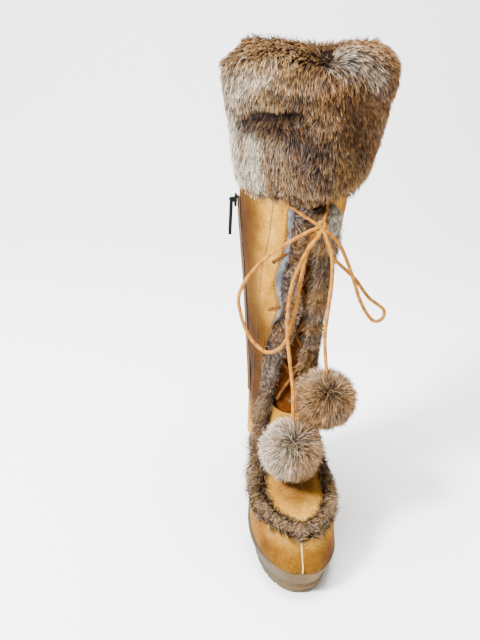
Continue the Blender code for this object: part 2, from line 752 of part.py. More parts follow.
def make_slider(material):
    """The slider's body over the teeth, with two ears and the pin that the tab hangs on."""
    pin = pull_axis()
    bm = bmesh.new()
    box(bm, pin + Vector((SLIDER_STAND / 2, 0, -GAP)), SLIDER_BODY)
    slider = add_mesh("zip_slider", bm, material)
    ear_tools = []
    for k, side in enumerate((-1, 1)):
        ear = bmesh.new()
        box(ear, pin + Vector((EAR[0] / 2 - PIN, side * (TAB_WIDTH / 2 + GAP + EAR[1] / 2), 0)), EAR)
        ear_tools.append(add_mesh(f"slider_ear_{k}", ear))
    rod = bmesh.new()
    bmesh.ops.create_cone(rod, cap_ends=True, segments=12, radius1=PIN, radius2=PIN,
                          depth=TAB_WIDTH + EAR[1],
                          matrix=Matrix.Translation(pin) @ Matrix.Rotation(pi / 2, 4, "X"))
    boolean(slider, "UNION", *ear_tools, add_mesh("slider_pin", rod))
    return slider


def make_pull_tab(material):
    """A flat black tab with a slanted end, hung on the slider's pin by its eye."""
    pin = pull_axis()
    half, thick, top = TAB_WIDTH / 2, TAB_THICK / 2, -0.4 * EYE
    outline = ((-half, top), (half, top), (half, TAB_SLANT - TAB_LENGTH), (-half, -TAB_LENGTH))
    bm, _ = loft([[Vector((x, y, z)) for y, z in outline] for x in (-thick, thick)])
    tab = add_mesh("zip_pull_tab", bm, material)
    eye = bmesh.new()
    turned = Matrix.Rotation(pi / 2, 4, "X")
    bmesh.ops.create_cone(eye, cap_ends=True, segments=16, radius1=EYE, radius2=EYE,
                          depth=TAB_WIDTH - GAP, matrix=turned)
    hole = bmesh.new()
    bmesh.ops.create_cone(hole, cap_ends=True, segments=16, radius1=PIN + EYE_CLEAR,
                          radius2=PIN + EYE_CLEAR, depth=2 * TAB_WIDTH, matrix=turned)
    tools = add_mesh("tab_eye", eye), add_mesh("tab_hole", hole)
    boolean(tab, "UNION", tools[0])
    boolean(tab, "DIFFERENCE", tools[1])
    for moved in (tab, *tools):
        moved.location = pin
    return tab


def build():
    clear_scene()
    rubber = finish_material("moulded rubber", "A8977A", 0.75)
    suede = finish_material("tan suede", "C08A45", 0.95)
    lining = finish_material("lining board", "B79C74", 0.9)
    tongue_suede = finish_material("tongue suede", "A8622B", 0.95)
    fur = finish_material("rabbit fur", "7A5F47", 0.9)
    cord = finish_material("round lace", "C98A45", 0.7)
    tape = finish_material("zip tape", "6B4A26", 0.8)
    black = finish_material("black metal", "1B2022", 0.4)

    make_outsole(rubber)
    make_midsole(rubber)
    make_insole(lining)
    make_upper(suede)
    make_tongue(tongue_suede)

    envelope = last_solid("upper_envelope", -TRIM_CLEAR)
    fur_strip("fur_trim_apron", apron_route(), fur, (0, -0.002, -0.003), envelope)
    fur_strip("fur_trim_inner", facing_route(*FACING_INNER), fur, (0, 0, -LOCK), envelope)
    fur_strip("fur_trim_outer", facing_route(*FACING_OUTER), fur, (0, 0, -LOCK), envelope)
    make_cuff(fur, last_solid("collar_envelope", -GAP, top=GAP))

    make_crossings(cord)
    make_knot(cord)
    make_cord("lace_loop_left", LOOP_LEFT, cord)
    make_cord("lace_loop_right", LOOP_RIGHT, cord)
    make_cord("lace_end_left", END_LEFT, cord)
    make_cord("lace_end_right", END_RIGHT, cord)
    make_pompom("pompom_left", POMPOM_LEFT_AT, fur)
    make_pompom("pompom_right", POMPOM_RIGHT_AT, fur)

    make_zip_tape(tape)
    make_slider(black)
    make_pull_tab(black)


build()
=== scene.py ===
"""The looks of a knee-high fur boot: suede, fur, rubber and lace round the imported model.

Metres, +Z up, the toe towards -Y and the inner side of the leg towards -X.
"""

from collections import namedtuple
from math import cos, pi, radians, sin

import bmesh
import bpy
import numpy as np
from mathutils import Matrix, Vector
from mathutils.kdtree import KDTree


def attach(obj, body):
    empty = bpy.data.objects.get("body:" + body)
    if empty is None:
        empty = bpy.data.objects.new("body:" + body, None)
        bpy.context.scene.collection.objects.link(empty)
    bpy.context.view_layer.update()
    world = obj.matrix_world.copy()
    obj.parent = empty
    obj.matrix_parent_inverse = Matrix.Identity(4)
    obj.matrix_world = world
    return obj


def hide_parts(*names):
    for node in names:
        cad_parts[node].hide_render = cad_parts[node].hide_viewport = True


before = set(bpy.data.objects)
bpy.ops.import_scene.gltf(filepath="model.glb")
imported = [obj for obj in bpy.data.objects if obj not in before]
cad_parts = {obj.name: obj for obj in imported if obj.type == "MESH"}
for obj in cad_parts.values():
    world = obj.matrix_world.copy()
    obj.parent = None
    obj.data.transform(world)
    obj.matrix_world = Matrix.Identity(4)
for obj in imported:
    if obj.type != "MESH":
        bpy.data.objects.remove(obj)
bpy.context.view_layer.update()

MM = 0.001

# Camera
# Stands where the photograph was taken from: to the inner side of the toe and as high as the
# cuff, looking down, rolled a few degrees.
CAMERA_AT = Vector((-0.1292, -0.7069, 0.5089))
CAMERA_PITCH, CAMERA_YAW, CAMERA_ROLL = radians(20.61), radians(5.61), radians(3.09)


def add_object(name, data):
    made = bpy.data.objects.new(name, data)
    bpy.context.collection.objects.link(made)
    return made


camera = add_object("camera", bpy.data.cameras.new("camera"))
camera.data.lens = 42.19
camera.data.sensor_width = 36
ahead = Vector((sin(CAMERA_YAW) * cos(CAMERA_PITCH), cos(CAMERA_YAW) * cos(CAMERA_PITCH),
                -sin(CAMERA_PITCH)))
level = Vector((cos(CAMERA_YAW), -sin(CAMERA_YAW), 0))
rise = level.cross(ahead)
right = level * cos(CAMERA_ROLL) + rise * sin(CAMERA_ROLL)
up = rise * cos(CAMERA_ROLL) - level * sin(CAMERA_ROLL)
camera.matrix_world = Matrix.Translation(CAMERA_AT) @ Matrix((right, up, -ahead)).transposed().to_4x4()
bpy.context.scene.camera = camera

# Outsole
# A thin slab of moulded rubber, cut across underneath by grooves that leave lugs standing.
# It is cemented under the platform and shows as the lowest band of the sole's wall.
SOLE_LENGTH = 0.256
BALL_WIDTH = 0.092
HEEL_WIDTH = 0.068
PLATFORM = 0.027
HEEL_HEIGHT = 0.060
TOE_SPRING = 0.003
OUTSOLE = 0.0075
ARCH_RELIEF = 0.003
ARCH_FRONT, ARCH_BACK = 0.53, 0.71
SHANK_FRONT = 0.45
LUG_DEPTH, LUG_GROOVE, LUG_PITCH = 0.003, 0.0045, 0.0145
SIDE_TAPER = 0.0075
GAP = 0.0003
JOIN_WITHIN = 1e-5
TOE = -SOLE_LENGTH / 2
# The sole's outline: a share of its length, its middle as a share of the ball's width, and its half
# width as shares of the ball's and the heel's
Plan = namedtuple("Plan", "along middle ball heel")
PLAN = (
    Plan(0.00, 0.012, 0.000, 0.000),
    Plan(0.03, 0.012, 0.222, 0.000),
    Plan(0.09, 0.014, 0.343, 0.000),
    Plan(0.18, 0.018, 0.440, 0.000),
    Plan(0.28, 0.020, 0.484, 0.000),
    Plan(0.38, 0.022, 0.488, 0.000),
    Plan(0.50, 0.018, 0.330, 0.150),
    Plan(0.64, 0.008, 0.120, 0.350),
    Plan(0.80, 0.000, 0.000, 0.500),
    Plan(0.90, 0.000, 0.000, 0.430),
    Plan(0.97, 0.000, 0.000, 0.250),
    Plan(1.00, 0.000, 0.000, 0.000),
)
PLAN_TURNS = np.arccos([1 - 2 * row.along for row in PLAN])
rng = np.random.default_rng(11)


def smooth(keys, values, at):
    """A smooth curve through values at keys, read at one place or at many."""
    keys, values = np.asarray(keys, float), np.asarray(values, float)
    slopes = np.gradient(values, keys)
    at = np.clip(at, keys[0], keys[-1])
    i = np.minimum(np.searchsorted(keys, at, side="right") - 1, len(keys) - 2)
    span = keys[i + 1] - keys[i]
    t = (at - keys[i]) / span
    start = (1 + 2 * t) * (1 - t) ** 2 * values[i] + t * (1 - t) ** 2 * span * slopes[i]
    return start + t * t * (3 - 2 * t) * values[i + 1] + t * t * (t - 1) * span * slopes[i + 1]


def ease(low, high, at):
    t = np.clip((np.asarray(at, float) - low) / (high - low), 0, 1)
    return t * t * (3 - 2 * t)


def plan_sides(along, inset=0.0):
    """Inner and outer edge of the sole at shares of its length."""
    turn = np.arccos(1 - 2 * np.clip(along, 0, 1))
    middle = BALL_WIDTH * smooth(PLAN_TURNS, [row.middle for row in PLAN], turn)
    halves = [BALL_WIDTH * row.ball + HEEL_WIDTH * row.heel for row in PLAN]
    half = smooth(PLAN_TURNS, halves, turn) * (1 - 2 * inset / BALL_WIDTH)
    return middle - half, middle + half


def bed(y):
    along = (y - TOE) / SOLE_LENGTH
    spring = TOE_SPRING * (1 - ease(0.0, 0.24, along))
    return PLATFORM + spring + (HEEL_HEIGHT - PLATFORM) * ease(0.34, 0.86, along)


def tread(y):
    along = (y - TOE) / SOLE_LENGTH
    spring = TOE_SPRING * (1 - ease(0.0, 0.17, along))
    arch = ARCH_RELIEF * ease(ARCH_FRONT, ARCH_FRONT + 0.06, along)
    return spring + arch * (1 - ease(ARCH_BACK - 0.06, ARCH_BACK, along))


def draw_sheet(places, join=False, facing=None):
    """A bmesh grid whose corners lie at places. join closes the edges that meet, and facing is
    the way that an open sheet looks."""
    rows, columns = places.shape[:2]
    bm = bmesh.new()
    bm.loops.layers.uv.new("UVMap")
    bmesh.ops.create_grid(bm, x_segments=columns - 1, y_segments=rows - 1, size=1, calc_uvs=True)
    for corner, place in zip(bm.verts, places.reshape(-1, 3)):
        corner.co = place
    if join:
        bmesh.ops.remove_doubles(bm, verts=bm.verts, dist=JOIN_WITHIN)
    bmesh.ops.recalc_face_normals(bm, faces=bm.faces)
    if facing and sum(face.normal.dot(Vector(facing)) for face in bm.faces) < 0:
        bmesh.ops.reverse_faces(bm, faces=bm.faces)
    return bm


def add_piece(name, bm, *finishes):
    """A smooth shaded object from a bmesh."""
    mesh = bpy.data.meshes.new(name)
    bm.to_mesh(mesh)
    bm.free()
    mesh.shade_smooth()
    for finish in finishes:
        mesh.materials.append(finish)
    return add_object(name, mesh)


def dress(piece, node=None):
    """The piece rides on the boot, and may stand for a node."""
    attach(piece, "boot")
    if node:
        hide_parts(node)
    return piece


def sole_slab(levels, steps=64):
    """A slab over outlines of the sole, each with inset, height and share of its width."""
    stations = 0.5 * (1 - np.cos(np.linspace(0, pi, steps + 1)))
    rings = []
    for inset, height, share in levels:
        y = (TOE + stations * SOLE_LENGTH) * (1 - 2 * inset / SOLE_LENGTH)
        left, right = plan_sides(stations, inset)
        middle, half = (left + right) / 2, (right - left) / 2 * share
        around_y = np.concatenate([y, y[-2::-1]])
        around_x = np.concatenate([middle + half, (middle - half)[-2::-1]])
        rings.append(np.stack([around_x, around_y, height(around_y)], 1))
    return draw_sheet(np.array(rings), join=True)


def colour(code):
    """An sRGB hex value as linear RGBA."""
    channels = [int(code[i:i + 2], 16) / 255 for i in (0, 2, 4)]
    return (*(c / 12.92 if c <= 0.04045 else ((c + 0.055) / 1.055) ** 2.4 for c in channels), 1)


def new_finish(name):
    material = bpy.data.materials.new(name)
    material.use_nodes = True
    material.node_tree.nodes.clear()
    return material


def add_node(material, kind, links=None, stops=(), **settings):
    """Adds a node: links feed its inputs, and stops are a ramp's places and colours."""
    node = material.node_tree.nodes.new(kind)
    for name, value in settings.items():
        setattr(node, name, value)
    for name, value in (links or {}).items():
        if isinstance(value, bpy.types.NodeSocket):
            material.node_tree.links.new(value, node.inputs[name])
        else:
            node.inputs[name].default_value = value
    for k, (place, code) in enumerate(stops):
        stop = node.color_ramp.elements[k] if k < 2 else node.color_ramp.elements.new(place)
        stop.position, stop.color = place, colour(code)
    return node


def per_metre(size):
    """The scale of a texture node whose forms are about size millimetres wide."""
    return 1 / (size * MM)


# Moulded crepe rubber: a dull, dusty beige skin with fine pits, browner towards the outer side as a
# painted warm reflection of the suede, and darker along the inner side as painted shade. The pits are
# drawn 1 mm wide, coarser than real, so that they show
rubber = new_finish("moulded beige rubber")
place = add_node(rubber, "ShaderNodeTexCoord").outputs["Object"]
cloud = add_node(rubber, "ShaderNodeTexNoise", {"Vector": place, "Scale": per_metre(22.2), "Detail": 5.0})
dust = add_node(rubber, "ShaderNodeValToRGB", {"Fac": cloud.outputs["Fac"]},
                stops=((0.3, "46320E"), (0.5, "5A4216"), (0.72, "705424")))
pits = add_node(rubber, "ShaderNodeTexNoise", {"Vector": place, "Scale": per_metre(1.11), "Detail": 2.0})
relief = add_node(rubber, "ShaderNodeBump", {
    "Height": pits.outputs["Fac"], "Strength": 0.25, "Distance": 0.0006})
across = add_node(rubber, "ShaderNodeSeparateXYZ", {0: place})
tone = dust.outputs["Color"]
# Painted reflection: warm brown towards the outer side; painted shade: darker towards the inner side
for side_x, most, code in ((0.05, 0.85, "54300C"), (-0.03, 0.7, "2C2416")):
    share = add_node(rubber, "ShaderNodeMapRange", {
        "Value": across.outputs["X"], "From Min": 0.004, "From Max": side_x, "To Max": most})
    tone = add_node(rubber, "ShaderNodeMix", {0: share.outputs["Result"], 6: tone, 7: colour(code)},
                    data_type="RGBA").outputs[2]
shader = add_node(rubber, "ShaderNodeBsdfPrincipled", {
    "Base Color": tone, "Roughness": 0.72, "Normal": relief.outputs["Normal"]})
add_node(rubber, "ShaderNodeOutputMaterial", {"Surface": shader.outputs["BSDF"]})

outsole = add_piece("outsole_rubber", sole_slab((
    (SIDE_TAPER + 0.0014, tread, 0.0),
    (SIDE_TAPER + 0.0014, tread, 1.0),
    (SIDE_TAPER + 0.0004, lambda y: tread(y) + 0.0008, 1.0),
    (SIDE_TAPER, lambda y: tread(y) + 0.5 * OUTSOLE, 1.0),
    (SIDE_TAPER - 0.0004, lambda y: tread(y) + OUTSOLE - 0.0008, 1.0),
    (SIDE_TAPER + 0.0004, lambda y: tread(y) + OUTSOLE, 1.0),
    (SIDE_TAPER + 0.0004, lambda y: tread(y) + OUTSOLE, 0.0),
)), rubber)
grooves = bmesh.new()
first_groove = SOLE_LENGTH / 2 - 0.5 * LUG_PITCH
for k in range(int(2 * first_groove / LUG_PITCH) + 1):
    groove_y = k * LUG_PITCH - first_groove
    if not SHANK_FRONT < (groove_y - TOE) / SOLE_LENGTH < ARCH_BACK:
        size = Matrix.Diagonal((2 * BALL_WIDTH, LUG_GROOVE, 2 * LUG_DEPTH, 1))
        at = Matrix.Translation((0, groove_y, float(tread(groove_y))))
        bmesh.ops.create_cube(grooves, size=1, matrix=at @ size)
cutter = add_piece("groove_cutter", grooves)
cut = outsole.modifiers.new("grooves", "BOOLEAN")
cut.object = cutter
bpy.context.view_layer.update()
evaluated = outsole.evaluated_get(bpy.context.evaluated_depsgraph_get())
outsole.data = bpy.data.meshes.new_from_object(evaluated)
outsole.modifiers.clear()
bpy.data.objects.remove(cutter)
outsole.data.set_sharp_from_angle(angle=radians(40))
dress(outsole, "outsole")

# Platform
# One moulding of foamed rubber, level under the ball and rising to the heel as a wedge. A rounded
# lip runs round its top edge, and two fine lines run round the wall above the outsole.
LIP_HEIGHT = 0.0035


def wall(share):
    """A height between the outsole and the platform's lip."""
    low = OUTSOLE + GAP
    return lambda y: tread(y) + low + share * (bed(y) - LIP_HEIGHT - tread(y) - low)


platform = add_piece("platform_wedge", sole_slab((
    (SIDE_TAPER + 0.001, wall(0), 0.0),
    (SIDE_TAPER + 0.001, wall(0), 1.0),
    (SIDE_TAPER - 0.0006, wall(0.03), 1.0),
    (SIDE_TAPER - 0.0008, wall(0.12), 1.0),
    (SIDE_TAPER - 0.0002, wall(0.15), 1.0),
    (SIDE_TAPER - 0.0002, wall(0.17), 1.0),
    (SIDE_TAPER - 0.0012, wall(0.20), 1.0),
    (SIDE_TAPER * 0.62, wall(0.45), 1.0),
    (SIDE_TAPER * 0.45, wall(0.75), 1.0),
    (SIDE_TAPER * 0.40, wall(0.96), 1.0),
    (0.0011, wall(1.0), 1.0),
    (0.0002, lambda y: bed(y) - LIP_HEIGHT * 0.85, 1.0),
    (0.0, lambda y: bed(y) - LIP_HEIGHT * 0.5, 1.0),
    (0.0003, lambda y: bed(y) - LIP_HEIGHT * 0.15, 1.0),
    (0.0010, bed, 1.0),
    (0.0010, bed, 0.0),
)), rubber)
dress(platform, "midsole")

# Upper
# A hollow shell of split cowhide with a napped face: vamp, quarters and shaft panels sewn
# together, lasted under and glued to the platform, open down the throat and at the collar.
WALL = 0.0022
INSTEP_RISE = 0.115
COLLAR_HEIGHT = 0.498
LEG_AXIS = 0.062
ANKLE_WIDTH, ANKLE_DEPTH = 0.072, 0.106
CALF_WIDTH, CALF_DEPTH = 0.109, 0.121
# How far the shell reaches down past the bed, and how far it stands in from the platform's edge
SINK, LIP = 0.008, 0.0028
THROAT_WIDTH = 0.034
THROAT_FOOT = 0.134
# Slanting sections of the foot: where the front and back lines lie along the sole, the rise of the
# front line as a share of the instep's, and the fullness of the top and of the bottom
Foot = namedtuple("Foot", "front rise back crown corner")
FOOT = (
    Foot(0.010, 0.100, 0.010, 2.6, 4.0),
    Foot(0.026, 0.170, 0.024, 2.5, 4.0),
    Foot(0.058, 0.235, 0.054, 2.4, 4.2),
    Foot(0.110, 0.292, 0.105, 2.3, 4.4),
    Foot(0.180, 0.345, 0.172, 2.2, 4.6),
    Foot(0.260, 0.402, 0.256, 2.1, 4.6),
    Foot(0.335, 0.474, 0.360, 2.0, 4.4),
    Foot(0.405, 0.568, 0.475, 2.0, 4.0),
    Foot(0.462, 0.700, 0.610, 2.0, 3.6),
    Foot(0.500, 0.850, 0.785, 2.0, 3.4),
)
# Sections of the shaft: front and back as shares of its length, shin and heel as shares of the sole,
# the swell from ankle to calf, the lean as a share of the calf's width, and the back's fullness
Shaft = namedtuple("Shaft", "front back shin heel swell lean corner")
SHAFT = (
    Shaft(0.000, -0.258, 0.020, 0.010, -0.03, -0.005, 3.0),
    Shaft(0.050, -0.180, 0.008, 0.034, -0.02, -0.015, 2.6),
    Shaft(0.100, -0.085, 0.002, 0.026, 0.00, -0.022, 2.3),
    Shaft(0.155, 0.030, 0.000, 0.006, 0.08, -0.034, 2.1),
    Shaft(0.235, 0.185, 0.000, 0.000, 0.24, -0.046, 2.1),
    Shaft(0.335, 0.325, 0.000, 0.000, 0.45, -0.050, 2.1),
    Shaft(0.455, 0.455, 0.000, 0.000, 0.75, -0.050, 2.1),
    Shaft(0.580, 0.580, 0.000, 0.000, 1.02, -0.050, 2.1),
    Shaft(0.780, 0.780, 0.000, 0.000, 1.30, -0.040, 2.1),
    Shaft(1.000, 1.000, 0.000, 0.000, 1.40, -0.030, 2.1),
)
# The inner suede edge of the throat waves in and out: height and place across, in millimetres
INNER_EDGE = (
    (134, -17), (165, -25), (190, -29), (215, -28), (232, -23.5), (251, -19.5), (266, -22),
    (280, -24.5), (298, -21.5), (316, -18), (355, -17), (498, -17),
)
# Soft folds of the suede, from one end to the other, their width and depth, in millimetres:
# troughs where the depth is positive and ridges where it is negative
Fold = namedtuple("Fold", "start end width depth")
FOLDS = (
    Fold((-38, 22, 168), (-37, 80, 150), 7, 0.9),
    Fold((-37, 30, 186), (-38, 88, 176), 8, -1.6),
    Fold((-39, 18, 205), (-40, 70, 198), 6, 0.3),
    Fold((34, 14, 170), (35, 78, 152), 7, 2.0),
    Fold((34, 24, 188), (34, 86, 178), 8, -1.4),
    Fold((-12, 118, 150), (16, 118, 146), 7, 1.8),
    Fold((-27, -6, 128), (-34, 20, 120), 5, 1.5),
    Fold((25, -4, 130), (32, 22, 120), 5, 1.5),
    Fold((-4, -50, 88), (15, -38, 92), 6, 1.6),
    Fold((-6, -58, 82), (18, -50, 84), 5, -0.9),
    Fold((-28, -80, 36), (-36, -50, 42), 6, 0.8),
    Fold((-44, 30, 240), (-47, 34, 330), 10, 1.6),
    Fold((-36, 12, 225), (-38, 10, 300), 8, -1.0),
    Fold((40, 30, 250), (44, 34, 340), 10, 1.2),
    Fold((-47, 90, 262), (-30, 112, 250), 8, 1.4),
    Fold((38, 92, 270), (20, 112, 256), 8, 1.3),
)
# Darker patches on the hide: painted shade down the inner and the outer side of the leg, at the
# ankles, at the throat's foot, on the apron under the pompom and along the toe's sides; the toe is also
# made darker. Each has a place in millimetres, how far it spreads along each axis, and what it does to
# red, green and blue
ShadeTint = namedtuple("ShadeTint", "place spread tint")
SHADE_TINTS = (
    ShadeTint((-61, 40, 300), (22, 90, 130), (0.09, 0.06, 0.03)),
    ShadeTint((-44, 50, 208), (29, 80, 52), (0.12, 0.08, 0.05)),
    ShadeTint((-40, 35, 155), (22, 70, 36), (0.14, 0.10, 0.06)),
    ShadeTint((58, 50, 300), (24, 60, 130), (0.66, 0.38, 0.16)),
    ShadeTint((44, 20, 150), (16, 60, 60), (0.58, 0.36, 0.17)),
    ShadeTint((4, -58, 92), (30, 44, 26), (0.42, 0.36, 0.66)),
    ShadeTint((6, -42, 102), (24, 18, 20), (0.55, 0.48, 0.50)),
    ShadeTint((0, -112, 38), (56, 32, 22), (0.28, 0.22, 0.11)),
    ShadeTint((-36, 10, 120), (16, 60, 30), (0.20, 0.14, 0.08)),
    ShadeTint((-2, -24, 150), (24, 24, 20), (0.16, 0.10, 0.05)),
    ShadeTint((38, -95, 36), (16, 36, 18), (0.60, 0.42, 0.24)),
    ShadeTint((-38, -75, 40), (14, 50, 24), (0.40, 0.34, 0.26)),
)


def foot_section(row):
    """A slanting section of the foot: its front line, its foot, its sides and its two fullnesses."""
    y, back = TOE + row.front * SOLE_LENGTH, TOE + row.back * SOLE_LENGTH
    left, right = plan_sides(row.back)
    return [y, PLATFORM + TOE_SPRING * (1 - ease(0, 0.24, row.front)) + row.rise * INSTEP_RISE,
            back, bed(back) - SINK, left + LIP, right - LIP, row.crown, row.corner]


def shaft_section(row):
    bend = PLATFORM + INSTEP_RISE
    length = COLLAR_HEIGHT - bend
    depth = ANKLE_DEPTH + row.swell * (CALF_DEPTH - ANKLE_DEPTH)
    width = ANKLE_WIDTH + row.swell * (CALF_WIDTH - ANKLE_WIDTH)
    lean = row.lean * CALF_WIDTH
    return [LEG_AXIS - depth / 2 - row.shin * SOLE_LENGTH, bend + row.front * length,
            LEG_AXIS + depth / 2 + row.heel * SOLE_LENGTH, bend + row.back * length,
            lean - width / 2, lean + width / 2, 2.1, row.corner]


SECTIONS = np.array([foot_section(row) for row in FOOT] + [shaft_section(row) for row in SHAFT])
LAST_SECTION = len(SECTIONS) - 1
STEPS = np.linspace(0, LAST_SECTION, 1901)
STEP_HEIGHTS = smooth(range(len(SECTIONS)), SECTIONS[:, 1], STEPS)


def section_values(at):
    return [smooth(range(len(SECTIONS)), column, at) for column in SECTIONS.T]


def section_at(z):
    """The section whose front line is at a height."""
    return np.interp(z, STEP_HEIGHTS, STEPS)


def power(value, square):
    """A sine or cosine swollen so that a section's corners are fuller than an oval's."""
    return np.sign(value) * np.abs(value) ** (2 / square)


def skin(at, turn, inset=0.0):
    """Places on the upper's surface; turn 0 is its front line and pi/2 the outer side."""
    at, turn = np.broadcast_arrays(np.asarray(at, float), np.asarray(turn, float))
    front_y, front_z, back_y, back_z, inner, outer, crown, corner = section_values(at)
    run, climb = front_y - back_y, front_z - back_z
    length = np.hypot(run, climb)
    square = np.where(np.cos(turn) >= 0, crown, corner)
    reach = (length / 2 - inset) * power(np.cos(turn), square) / length
    x = (inner + outer) / 2 + ((outer - inner) / 2 - inset) * power(np.sin(turn), square)
    y = (front_y + back_y) / 2 + run * reach + inset * np.maximum(0, 1 - at)
    return np.stack([x, y, (front_z + back_z) / 2 + climb * reach], -1)


def unit(vectors):
    return vectors / np.maximum(np.linalg.norm(vectors, axis=-1, keepdims=True), 1e-12)


def skin_out(at, turn):
    """The way out of the upper's surface."""
    along = skin(np.asarray(at) + 0.05, turn) - skin(np.asarray(at) - 0.05, turn)
    around = skin(at, np.asarray(turn) + 0.05) - skin(at, np.asarray(turn) - 0.05)
    out = unit(np.cross(around, along))
    front_y, front_z, back_y, back_z, inner, outer = section_values(at)[:6]
    inside = np.stack([(inner + outer) / 2, (front_y + back_y) / 2, (front_z + back_z) / 2], -1)
    return out * np.sign(((skin(at, turn) - inside) * out).sum(-1, keepdims=True))


def front_turn(share, crown):
    """The turn at which a section's front reaches a share of its half width."""
    return np.sign(share) * np.arcsin(np.abs(share) ** (crown / 2))


def turn_to(at, x, inset=0.0):
    """The turn at which the front of a section reaches sideways to x."""
    inner, outer, crown = section_values(at)[4:7]
    share = np.clip((x - (inner + outer) / 2) / ((outer - inner) / 2 - inset), -1, 1)
    return front_turn(share, crown)


def from_segment(points, start, end):
    """How far points are from a straight line between two ends."""
    start, end = np.array(start) * MM, np.array(end) * MM
    share = np.clip((points - start) @ (end - start) / ((end - start) @ (end - start)), 0, 1)
    return np.linalg.norm(points - start - share[..., None] * (end - start), axis=-1)


def nearness(points, line):
    """1 on a fold's or a patch's line, falling off over its width."""
    return np.exp(-(from_segment(points, line.start, line.end) / (line.width * MM)) ** 2)


def fold_depth(points):
    """How deep the suede's folds are at points, in metres; ridges are negative."""
    depth = np.zeros(points.shape[:-1])
    for fold in FOLDS:
        depth += fold.depth * MM * nearness(points, fold)
    return depth


def lasted_swell(points):
    """How far the suede stands out where it is drawn tight over the last, above the bed."""
    return 0.0019 * np.exp(-((points[..., 2] - bed(points[..., 1]) - 0.004) / 0.009) ** 2)


def across_at(route, height):
    """The place across at a height, on a route of heights and places across in millimetres."""
    heights, places = np.array(route).T * MM
    return smooth(heights, places, height)


def throat_edge(height, side):
    """Where the throat's edge lies across, narrowing to nothing in the round foot."""
    half = THROAT_WIDTH / 2
    up = np.clip(height - THROAT_FOOT, 0, half)
    round_foot = np.sqrt(np.maximum(half ** 2 - (half - up) ** 2, 0)) / half
    if side > 0:
        return half * round_foot
    return across_at(INNER_EDGE, height) * round_foot


def walked(line):
    """The distance walked along a line at each of its points."""
    return np.concatenate([[0], np.cumsum(np.linalg.norm(np.diff(line, axis=0), axis=1))])


def upper_places(columns=104, spacing=0.0023):
    """Rows from the toe to the collar; columns from the throat's outer edge round the back."""
    front = skin(STEPS, 0.0)
    back = skin(STEPS, pi * 0.75)
    travel = (walked(front) + walked(back)) / 2
    steps = np.interp(np.linspace(0, travel[-1], int(travel[-1] / spacing)), travel, STEPS)
    rows = []
    for at in steps:
        height = section_values(at)[1]
        start = float(turn_to(at, throat_edge(height, 1)))
        end = 2 * pi + float(turn_to(at, throat_edge(height, -1)))
        ring = skin(at, np.linspace(start, end, 600))
        walk = walked(ring)
        even = np.linspace(0, walk[-1], columns)
        rows.append(np.stack([np.interp(even, walk, ring[:, k]) for k in range(3)], 1))
    tip = np.repeat(rows[0].mean(0, keepdims=True) - [[0, 0.0006, 0]], columns, axis=0)
    return np.array([tip] + rows)


def grid_out(places):
    """Normals of a grid of places, by its own rows and columns."""
    along = np.gradient(places, axis=0)
    across = np.gradient(places, axis=1)
    return unit(np.cross(across, along))


places = upper_places()
out = grid_out(places)
centre = places.mean(axis=1, keepdims=True)
if ((places - centre) * out).sum() < 0:
    out = -out
depth = fold_depth(places)
# The fold depth also sets painted shade in the suede's colour
upper_fold_shade = np.clip(depth / 0.002, -1, 1)
places = places - out * depth[..., None]
places = places + out * [1, 1, 0] * lasted_swell(places)[..., None]
# Painted shade: the patches darken the hide's colour corner by corner
tints = np.ones_like(places)
for shade_tint in SHADE_TINTS:
    reach = (((places - np.array(shade_tint.place) * MM) / (np.array(shade_tint.spread) * MM)) ** 2).sum(-1)
    tints *= 1 - (1 - np.array(shade_tint.tint)) * np.exp(-reach ** 2)[..., None]
floor_line = bed(places[..., 1]) + GAP
under = places[..., 2] < floor_line
places[..., 2] = np.where(under, floor_line, places[..., 2])

bm = draw_sheet(places)
fold_shade_layer = bm.verts.layers.float.new("fold_shade")
shade_tint_layer = bm.verts.layers.float_color.new("shade_tint")
for corner, value, tint in zip(bm.verts, upper_fold_shade.ravel(), tints.reshape(-1, 3)):
    corner[fold_shade_layer] = value
    corner[shade_tint_layer] = (*tint, 1)
below = {corner for corner, flag in zip(bm.verts, under.ravel()) if flag}
bmesh.ops.delete(bm, geom=[f for f in bm.faces if all(v in below for v in f.verts)], context="FACES")
bmesh.ops.remove_doubles(bm, verts=bm.verts, dist=JOIN_WITHIN)
bmesh.ops.recalc_face_normals(bm, faces=bm.faces)
heel_face = max(bm.faces, key=lambda face: face.calc_center_median().y)
if heel_face.normal.y < 0:
    bmesh.ops.reverse_faces(bm, faces=bm.faces)
